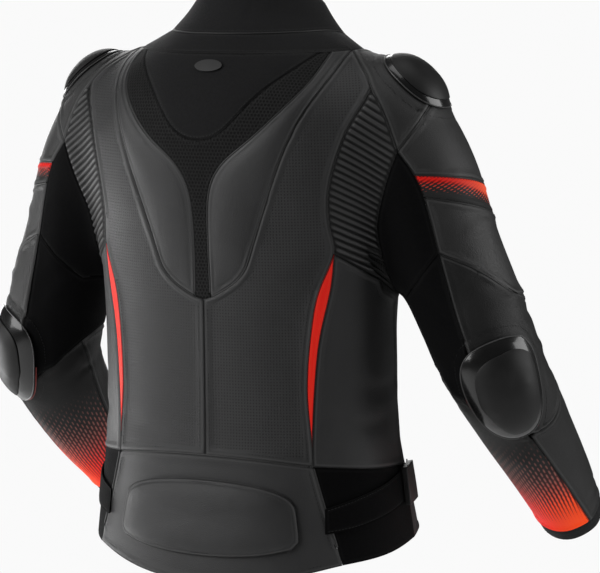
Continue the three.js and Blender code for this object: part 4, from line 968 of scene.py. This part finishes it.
# Cuts: subdivision level, width of the finer border, wall, rolled edge, welt, groove and rows of stitches
plainCut = dict(
    level=2, fine=9 * mm, wall=2 * mm, roll=(0.7 * mm, 1.6 * mm), welt=(1.0 * mm, 5.5 * mm), groove=0.5 * mm,
    rows=(7 * mm,),
)
leatherCut = dict(plainCut, look="leather", slot="leather")
backCut = dict(plainCut, look="perforated", slot="perforated_leather")
padCut = dict(
    leatherCut, roll=(1.2 * mm, 2.5 * mm), welt=(0.5 * mm, 3 * mm), rows=(5.5 * mm,),
    crown=(0.7 * mm, 16 * mm), padded=0.5,
)
ribCut = dict(
    plainCut, look="ribbed", slot="ribbed_leather", fine=0.5, welt=(0, 6 * mm), rows=(),
    ribs=dict(pitch=8.2 * mm, slope=0.64, height=2.8 * mm, roundness=1.5),
)
sliverCut = dict(plainCut, look="red", slot="red_leather", fine=4 * mm, welt=(0, 2 * mm), rows=())
neopreneCut = dict(
    plainCut, look="neoprene", slot="neoprene", roll=(0.8 * mm, 2.5 * mm), welt=(0, 6 * mm), groove=0.15 * mm,
    rows=(3 * mm,),
)
meshCut = dict(plainCut, look="airMesh", slot="air_mesh", fine=5 * mm, welt=(0, 6 * mm), rows=())
stretchCut = dict(plainCut, look="stretch", slot="stretch_cloth", fine=5 * mm, welt=(0, 6 * mm), rows=())
sleeveCut = dict(plainCut, look="sleeveLeather", slot="leather")
lowerCut = dict(sleeveCut, look="lowerSleeve", corner=55)
bandCut = dict(sleeveCut, look="bandPrint", slot="printed_red", rows=(2 * mm,))
printCut = dict(lowerCut, look="forearmPrint", slot="printed_red", rows=(2 * mm,))
cuffCut = dict(neopreneCut, corner=55)
strapCut = dict(stretchCut, fine=6 * mm, roll=(0.6 * mm, 1.5 * mm), rows=(2.5 * mm,))
tabCut = dict(strapCut, look="sleeveLeather")

trunkPieces = dict(
    back=backCut, back_pad=padCut, accordion=ribCut, sliver=sliverCut, side=leatherCut, hem_side=stretchCut,
    front=leatherCut, shoulder=sleeveCut, inner_front=stretchCut, stretch=stretchCut, waist_strap=strapCut,
    strap_tab=tabCut,
)
armPieces = dict(
    upper_sleeve=sleeveCut, arm_band=bandCut, mid_sleeve=sleeveCut, elbow_sleeve=lowerCut,
    inner_sleeve=stretchCut, forearm=lowerCut, forearm_print=printCut, cuff=cuffCut,
)
middlePieces = dict(
    collar=dict(neopreneCut, wall=3 * mm), neck_band=dict(neopreneCut, wall=3 * mm), yoke=neopreneCut,
    back_mesh=meshCut, lower_back=leatherCut, kidney_pad=dict(padCut, crown=(0.8 * mm, 10 * mm)),
)


def sideSign(name):
    return -1 if name.endswith("_right") else 1


def armDirection(node):  # from the wrist end of a piece to its shoulder end
    low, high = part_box(node)
    middle = np.array((low + high) / 2) * (sideSign(node), 1, 1)
    spans = np.linalg.norm(armTable[:-1, :3] * 0.5 + armTable[1:, :3] * 0.5 - middle, axis=1)
    span = spans.argmin()
    return tuple((armTable[span, :3] - armTable[span + 1, :3]) * (sideSign(node), 1, 1))


for name, cut in middlePieces.items():
    sewCloth(name, cut)
for side in signs:
    for name, cut in trunkPieces.items():
        sewCloth(f"{name}_{side}", cut)
    for name, cut in armPieces.items():
        node = f"{name}_{side}"
        sewCloth(node, dict(cut, up=armDirection(node)))
print("cloth copied and smoothed:", len(cloth))
for name in cloth:
    shapeCloth(name)
print("folds, ribs and turned edges shaped")

# Outlines of the finished pieces, and which piece each stretch of them meets
outlines = {name: outlineOf(entry["piece"].data) for name, entry in cloth.items()}
owners, borderPoints = [], []
for name, loops in outlines.items():
    for loop in loops:
        owners += [name] * len(loop["line"])
        borderPoints += list(loop["line"])
borderTree = pointTree(borderPoints)
for name, loops in outlines.items():
    for loop in loops:
        loop["meets"] = []
        for point in loop["line"]:
            near = [owners[i] for _, i, reach in borderTree.find_n(point, 9) if reach < 3 * mm]
            loop["meets"].append(next((owner for owner in near if owner != name), ""))


def baseName(name):
    return name.replace("_left", "").replace("_right", "")


def runsOf(keep):  # unbroken stretches of an outline, as lists of places along it
    count = len(keep)
    if all(keep):
        return [list(range(count))], True
    runs = []
    start = list(keep).index(False)
    run = []
    for i in list(range(start, count)) + list(range(start)):
        if keep[i]:
            run.append(i)
        elif run:
            runs.append(run)
            run = []
    if run:
        runs.append(run)
    return [run for run in runs if len(run) > 3], False


def evenly(line, pitch):  # where evenly spaced points fall on a line, as (index, share) pairs
    steps = np.linalg.norm(np.diff(line, axis=0), axis=1)
    at = np.concatenate([[0], np.cumsum(steps)])
    wanted = np.arange(pitch / 2, at[-1], pitch)
    index = np.clip(np.searchsorted(at, wanted, side="right") - 1, 0, len(steps) - 1)
    return index, (wanted - at[index]) / np.maximum(steps[index], 1e-9)


stitch = dict(pitch=4.2 * mm, size=(0.85 * mm, 3 * mm, 0.7 * mm), gap=14 * mm, clear=0.86)
stitches = []


def sewLine(spots, ups, blend):  # evenly spaced stitches along a line on the cloth
    for i, t in zip(*evenly(spots, stitch["pitch"])):
        step = spots[i + 1] - spots[i]
        length = np.linalg.norm(step)
        if 1e-5 < length < stitch["gap"]:
            up = unit(ups[i] * (1 - t) + ups[i + 1] * t) if blend else ups[i]
            stitches.append((spots[i] + step * t, step / length, up))


def stitchRow(name, reach):
    tree = faceTree(cloth[name]["piece"].data, outside)
    border = pointTree(np.concatenate([loop["line"] for loop in outlines[name]]))
    for loop in outlines[name]:
        count = len(loop["line"])
        found = []
        for i in range(count + 1):
            foot, normal, _, _ = tree.find_nearest(
                Vector(loop["line"][i % count] + loop["inward"][i % count] * reach))
            if border.find(foot)[2] > stitch["clear"] * reach:
                found.append((foot, normal))
        if len(found) > 2:
            sewLine(*(np.array([tuple(row[k]) for row in found]) for k in (0, 1)), blend=True)


# Every piece of leather is topstitched beside its seams, one line for each row its cut lists
for name, entry in cloth.items():
    for row in entry["cut"]["rows"]:
        stitchRow(name, row)
starts = np.cumsum([0] + [len(entry["piece"].data.vertices) for entry in cloth.values()])
shared = BVHTree.FromPolygons(
    [v.co for entry in cloth.values() for v in entry["piece"].data.vertices],
    [
        [v + start for v in polygon.vertices] for entry, start in zip(cloth.values(), starts)
        for polygon in entry["piece"].data.polygons if polygon.material_index == outside
    ],
)
for loop in cupLines:
    line = loop["line"] - loop["inward"] * cupRing["row"]
    found = [shared.find_nearest(Vector(point)) for point in np.concatenate([line, line[:1]])]
    sewLine(*(np.array([tuple(row[k]) for row in found]) for k in (0, 1)), blend=False)
print("stitches placed:", len(stitches))


def joinCopies(name, pattern, frames, material):  # one mesh of a small shape set at many places
    places = vertexPlaces(pattern.data)
    points, polygons = [], []
    for k, (spot, along, up) in enumerate(frames):
        across = unit(np.cross(up, along))
        points.append(places @ np.array([across, along, np.cross(along, across)]) + spot)
        polygons += [[v + k * len(places) for v in polygon.vertices] for polygon in pattern.data.polygons]
    joined = bpy.data.meshes.new(name)
    joined.from_pydata(np.concatenate(points).tolist(), [], polygons)
    smoothFaces(joined)
    joined.materials.append(material)
    piece = bpy.data.objects.new(name, joined)
    bpy.context.scene.collection.objects.link(piece)
    bpy.data.objects.remove(pattern)
    return piece


def shapePattern(size, bevel=0):  # resizes the primitive just added
    bpy.ops.object.mode_set(mode="EDIT")
    bpy.ops.mesh.select_all(action="SELECT")
    if bevel == 0:
        bpy.ops.transform.rotate(value=math.pi / 2, orient_axis="X", center_override=(0, 0, 0))
    bpy.ops.transform.resize(value=size, center_override=(0, 0, 0))
    if bevel:
        bpy.ops.mesh.bevel(offset=bevel, segments=1, affect="EDGES")
    bpy.ops.object.mode_set(mode="OBJECT")
    return bpy.context.object


trim = {}  # pieces that stand for no solid of their own: name: (piece, slot)
for side, sign in signs.items():
    name = f"topstitching_{side}"
    chosen = [row for row in stitches if (row[0][0] > 0) == (sign > 0)]
    bpy.ops.object.select_all(action="DESELECT")
    bpy.ops.mesh.primitive_uv_sphere_add(segments=4, ring_count=3, radius=0.5)
    pattern = shapePattern(stitch["size"])
    trim[name] = (joinCopies(name, pattern, chosen, materials["thread"]), "leather")

# Piping stands in the seams that carry the jacket's lines
pipingSeams = [  # a piece, what it meets there, and the radius in mm
    ("back_pad", ("back",), 1.3), ("back_pad", ("back_mesh",), 1.3), ("back", ("accordion",), 1.2),
    ("shoulder", ("back", "accordion"), 1.2), ("lower_back", ("back", "side"), 1.6),
    ("lower_back", ("hem_side",), 1.6), ("collar", ("neck_band",), 0.9), ("mid_sleeve", ("arm_band",), 1.2),
    ("upper_sleeve", ("shoulder",), 1.1), ("upper_sleeve", ("arm_band",), 1.1),
    ("elbow_sleeve", ("mid_sleeve",), 1.0),
]


def seamLines(name, meets, radius):  # where a piece meets its neighbours, as (points, closed)
    lines = []
    for loop in outlines[name]:
        runs, closed = runsOf([baseName(other) in meets for other in loop["meets"]])
        for run in runs:
            line = loop["line"][run] + loop["up"][run] * (radius * 0.1)
            index, share = evenly(line, 4 * mm)
            if len(index) > 2:
                lines.append((line[index] * (1 - share)[:, None] + line[index + 1] * share[:, None], closed))
    return lines


def layTubes(name, lines, radius):
    curve = bpy.data.curves.new(name, "CURVE")
    curve.dimensions = "3D"
    curve.bevel_depth = radius
    curve.bevel_resolution = 2
    curve.use_fill_caps = True
    for points, closed in lines:
        spline = curve.splines.new("POLY")
        spline.points.add(len(points) - 1)
        spline.points.foreach_set("co", np.column_stack([points, np.ones(len(points))]).ravel())
        spline.use_cyclic_u = closed
    piece = bpy.data.objects.new(name, curve)
    bpy.context.scene.collection.objects.link(piece)
    return piece


def joinTubes(name, pieces, look):
    pickOnly(pieces[0])
    for piece in pieces:
        piece.select_set(True)
    bpy.ops.object.convert(target="MESH")
    if len(pieces) > 1:
        bpy.ops.object.join()
    joined = bpy.context.object
    joined.name = name
    joined.data.materials.clear()
    joined.data.materials.append(materials[look])
    smoothFaces(joined.data)
    return joined


pipes = []
for base, meets, radius in pipingSeams:
    for name in cloth:
        lines = seamLines(name, meets, radius * mm) if baseName(name) == base else []
        if lines:
            pipes.append(layTubes("pipe", lines, radius * mm))
print("piping laid along", len(pipes), "seams")
trim["piping"] = (joinTubes("piping", pipes, "piping"), "leather")

# A turned rim runs round each cup, light grey as a painted highlight, and a red cord under the lower inside
# of each elbow cup
rims = [(loop["line"] + loop["up"] * 0.1 * mm + loop["inward"] * 0.5 * mm, True) for loop in cupLines]
cords = []
for loop in cupLines:
    if loop["node"].startswith("elbow"):
        lower = np.array((-0.5 * sideSign(loop["node"]), 0.0, -1.0))
        lean = (loop["line"] - loop["line"].mean(axis=0)) @ lower
        line = loop["line"] - loop["inward"] * 2.2 * mm - loop["up"] * 1.2 * mm
        cords += [(line[run], False) for run in runsOf(lean > 0.45 * lean.max())[0]]
for name, lines, radius, look, slot in (
    ("cup_rims", rims, 0.8 * mm, "cupRim", "cup_plastic"),
    ("elbow_cords", cords, 0.9 * mm, "redPiping", "red_leather"),
):
    trim[name] = (joinTubes(name, [layTubes(name, lines, radius)], look), slot)


def markPrint(name, meets, radius):  # places on a print, round the sleeve and away from the seam it starts at
    mesh = cloth[name]["piece"].data
    places = vertexPlaces(mesh)
    start = [
        point for loop in outlines[name] for point, other in zip(loop["line"], loop["meets"])
        if baseName(other) == meets]
    away = nearestReach(places, start)
    rows = [armFrame(along) for along in np.arange(0, armLength[-1], 0.005)]
    centres = np.array([row[0] for row in rows])
    places = places * (sideSign(name), 1, 1)
    at = np.linalg.norm(places[:, None, :] - centres[None], axis=2).argmin(axis=1)
    lean = places - centres[at]
    outward, backward = (np.array([row[k] for row in rows])[at] for k in (2, 3))
    turn = np.arctan2((lean * backward).sum(axis=1), (lean * outward).sum(axis=1))
    middle = math.atan2(np.sin(turn).sum(), np.cos(turn).sum())
    turn = (turn - middle + math.pi) % (2 * math.pi) - math.pi
    marks = np.column_stack([turn * radius, away, np.zeros(len(away))])
    mesh.attributes.new("printPlace", "FLOAT_VECTOR", "POINT").data.foreach_set("vector", marks.ravel())


for side in signs:
    markPrint(f"forearm_print_{side}", "cuff", 0.052)
    markPrint(f"arm_band_{side}", "upper_sleeve", 0.066)

strip = dict(share=0.32, fill=0.9, width=10.2 * mm)  # a cut that fills little of its box, and its least width


def dress(piece, node, body="jacket"):
    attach(piece, body)
    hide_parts(node)


def declareCut(entry):
    piece, cut = entry["piece"], entry["cut"]
    if cut.get("padded"):
        return
    width, length, area = float(entry["size"][0]), float(entry["size"][1]), float(entry["area"])
    # a curved strip is declared as if it were straight
    if area < strip["share"] * width * length:  # a curved strip is sized as if it were straight; the sizes are not used further
        length = max(width, length)
        width = max(area / (strip["fill"] * length), strip["width"])


for name, entry in cloth.items():
    look = entry["cut"]["look"]
    edgeLook = "lowerSleeve" if "Print" in look else look
    for index, part in enumerate((look, edgeLook, "lining")):
        entry["piece"].data.materials[index] = materials[part]
    dress(entry["piece"], name)
    declareCut(entry)
for node, (piece, slot) in shells.items():
    dress(piece, node)

# The front zip: tape, two rows of teeth, slider and pull
zipLooks = dict(pitch=2.6 * mm, toothSize=(3.4 * mm, 1.5 * mm, 1.3 * mm), apart=1.1 * mm, sunk=0.3 * mm)
tape = sewCloth("zip", dict(stretchCut, slot="zip_chain", level=1, fine=0))
shapeCloth("zip")
for index in range(3):
    tape.data.materials[index] = materials["stretch"]
dress(tape, "zip")
declareCut(cloth["zip"])
tree = faceTree(tape.data)
low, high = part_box("zip")
heights = np.arange(low.z + 4 * mm, high.z - 3 * mm, 1 * mm)
line = [tree.ray_cast(Vector((0, -0.5, z)), Vector((0, 1, 0))) for z in heights]
spots, ups = (np.array([tuple(hit[k]) for hit in line if hit[0] is not None]) for k in (0, 1))
frames = []
for k, (i, t) in enumerate(zip(*evenly(spots, zipLooks["pitch"] / 2))):
    step = spots[i + 1] - spots[i]
    offset = np.array((zipLooks["apart"] * (1 if k % 2 else -1), 0, 0))
    frames.append((spots[i] + step * t + offset + ups[i] * zipLooks["sunk"], unit(step), ups[i]))
bpy.ops.object.select_all(action="DESELECT")
bpy.ops.mesh.primitive_cube_add(size=1)
tooth = shapePattern(zipLooks["toothSize"], bevel=0.25 * mm)
trim["zip_teeth"] = (joinCopies("zip_teeth", tooth, frames, materials["metal"]), "zip_chain")
for node, body in (("zip_slider", "jacket"), ("zip_pull", "zip_pull")):
    piece = copyNode(node, node + "_metal")
    applyModifier(
        piece, "BEVEL", width=0.35 * mm, segments=2, limit_method="ANGLE", angle_limit=math.radians(40))
    pickOnly(piece)
    bpy.ops.object.shade_smooth_by_angle(angle=math.radians(35))
    piece.data.materials.append(materials["metal"])
    dress(piece, node, body)
for piece, slot in trim.values():
    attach(piece, "jacket")
print("zip made with", len(frames), "teeth")

# Studio: pale floor, soft lights, camera behind the wearer's right shoulder
studio = dict(
    floorHeight=-1.45, floorSize=60, backdrop=0.955, ambient=0.07,
    target=(-0.053, -0.026, -0.293), cameraTurn=206.5, cameraRise=6.5, cameraReach=3.4, lens=170,
)
bpy.ops.object.select_all(action="DESELECT")
bpy.ops.mesh.primitive_circle_add(
    vertices=96, radius=studio["floorSize"], fill_type="NGON", location=(0, 0, studio["floorHeight"]))
floor = bpy.context.object
floor.name = "floor"


def plainToCamera(block, output, plain, real, looks):  # light meets the real surface, the camera a plain one
    block.use_nodes = True
    tree = block.node_tree
    tree.nodes.clear()
    seen = addNode(tree, "ShaderNodeLightPath").outputs["Is Camera Ray"]
    backdrop = addNode(tree, plain, {"Color": grey(studio["backdrop"]), "Strength": 1.0})
    lit = addNode(tree, real, looks)
    mixed = addNode(tree, "ShaderNodeMixShader", {0: seen, 1: lit.outputs[0], 2: backdrop.outputs[0]})
    addNode(tree, output, {"Surface": mixed.outputs[0]})


floor.data.materials.append(bpy.data.materials.new("paleFloor"))
plainToCamera(
    floor.data.materials[0], "ShaderNodeOutputMaterial", "ShaderNodeEmission", "ShaderNodeBsdfDiffuse",
    {"Color": grey(0.8)})
bpy.context.scene.world = bpy.data.worlds.new("studioAir")
plainToCamera(
    bpy.context.scene.world, "ShaderNodeOutputWorld", "ShaderNodeBackground", "ShaderNodeBackground",
    {"Color": grey(1.0), "Strength": studio["ambient"]})

target = Vector(studio["target"])
turn, rise = math.radians(studio["cameraTurn"]), math.radians(studio["cameraRise"])
toCamera = Vector((math.sin(turn) * math.cos(rise), -math.cos(turn) * math.cos(rise), math.sin(rise)))
toRight = Vector((-toCamera.y, toCamera.x, 0)).normalized()
camera = bpy.data.objects.new("camera", bpy.data.cameras.new("camera"))
bpy.context.scene.collection.objects.link(camera)
camera.location = target + toCamera * studio["cameraReach"]
camera.rotation_euler = (-toCamera).to_track_quat("-Z", "Y").to_euler()
camera.data.lens = studio["lens"]
camera.data.clip_end = 200
bpy.context.scene.camera = camera

# Soft boxes: place is how far right of, toward and above the jacket as the camera sees it
softBoxes = dict(
    key=dict(place=(-2.6, 1.0, 0.9), size=2.2, power=62),
    side=dict(place=(2.5, 0.4, 0.5), size=1.8, power=34),
    low=dict(place=(-1.9, -1.0, -0.8), size=1.3, power=34),
    top=dict(place=(0.2, 0.3, 2.6), size=1.8, power=16),
    front=dict(place=(-0.6, -3.0, 1.2), size=2.4, power=60),
)
for name, box in softBoxes.items():
    light = bpy.data.objects.new(name, bpy.data.lights.new(name, "AREA"))
    bpy.context.scene.collection.objects.link(light)
    right, toward, above = box["place"]
    light.location = target + toRight * right + toCamera * toward + Vector((0, 0, above))
    light.rotation_euler = (target - light.location).to_track_quat("-Z", "Y").to_euler()
    light.data.size = box["size"]
    light.data.energy = box["power"]
bpy.context.scene.view_settings.view_transform = "Standard"
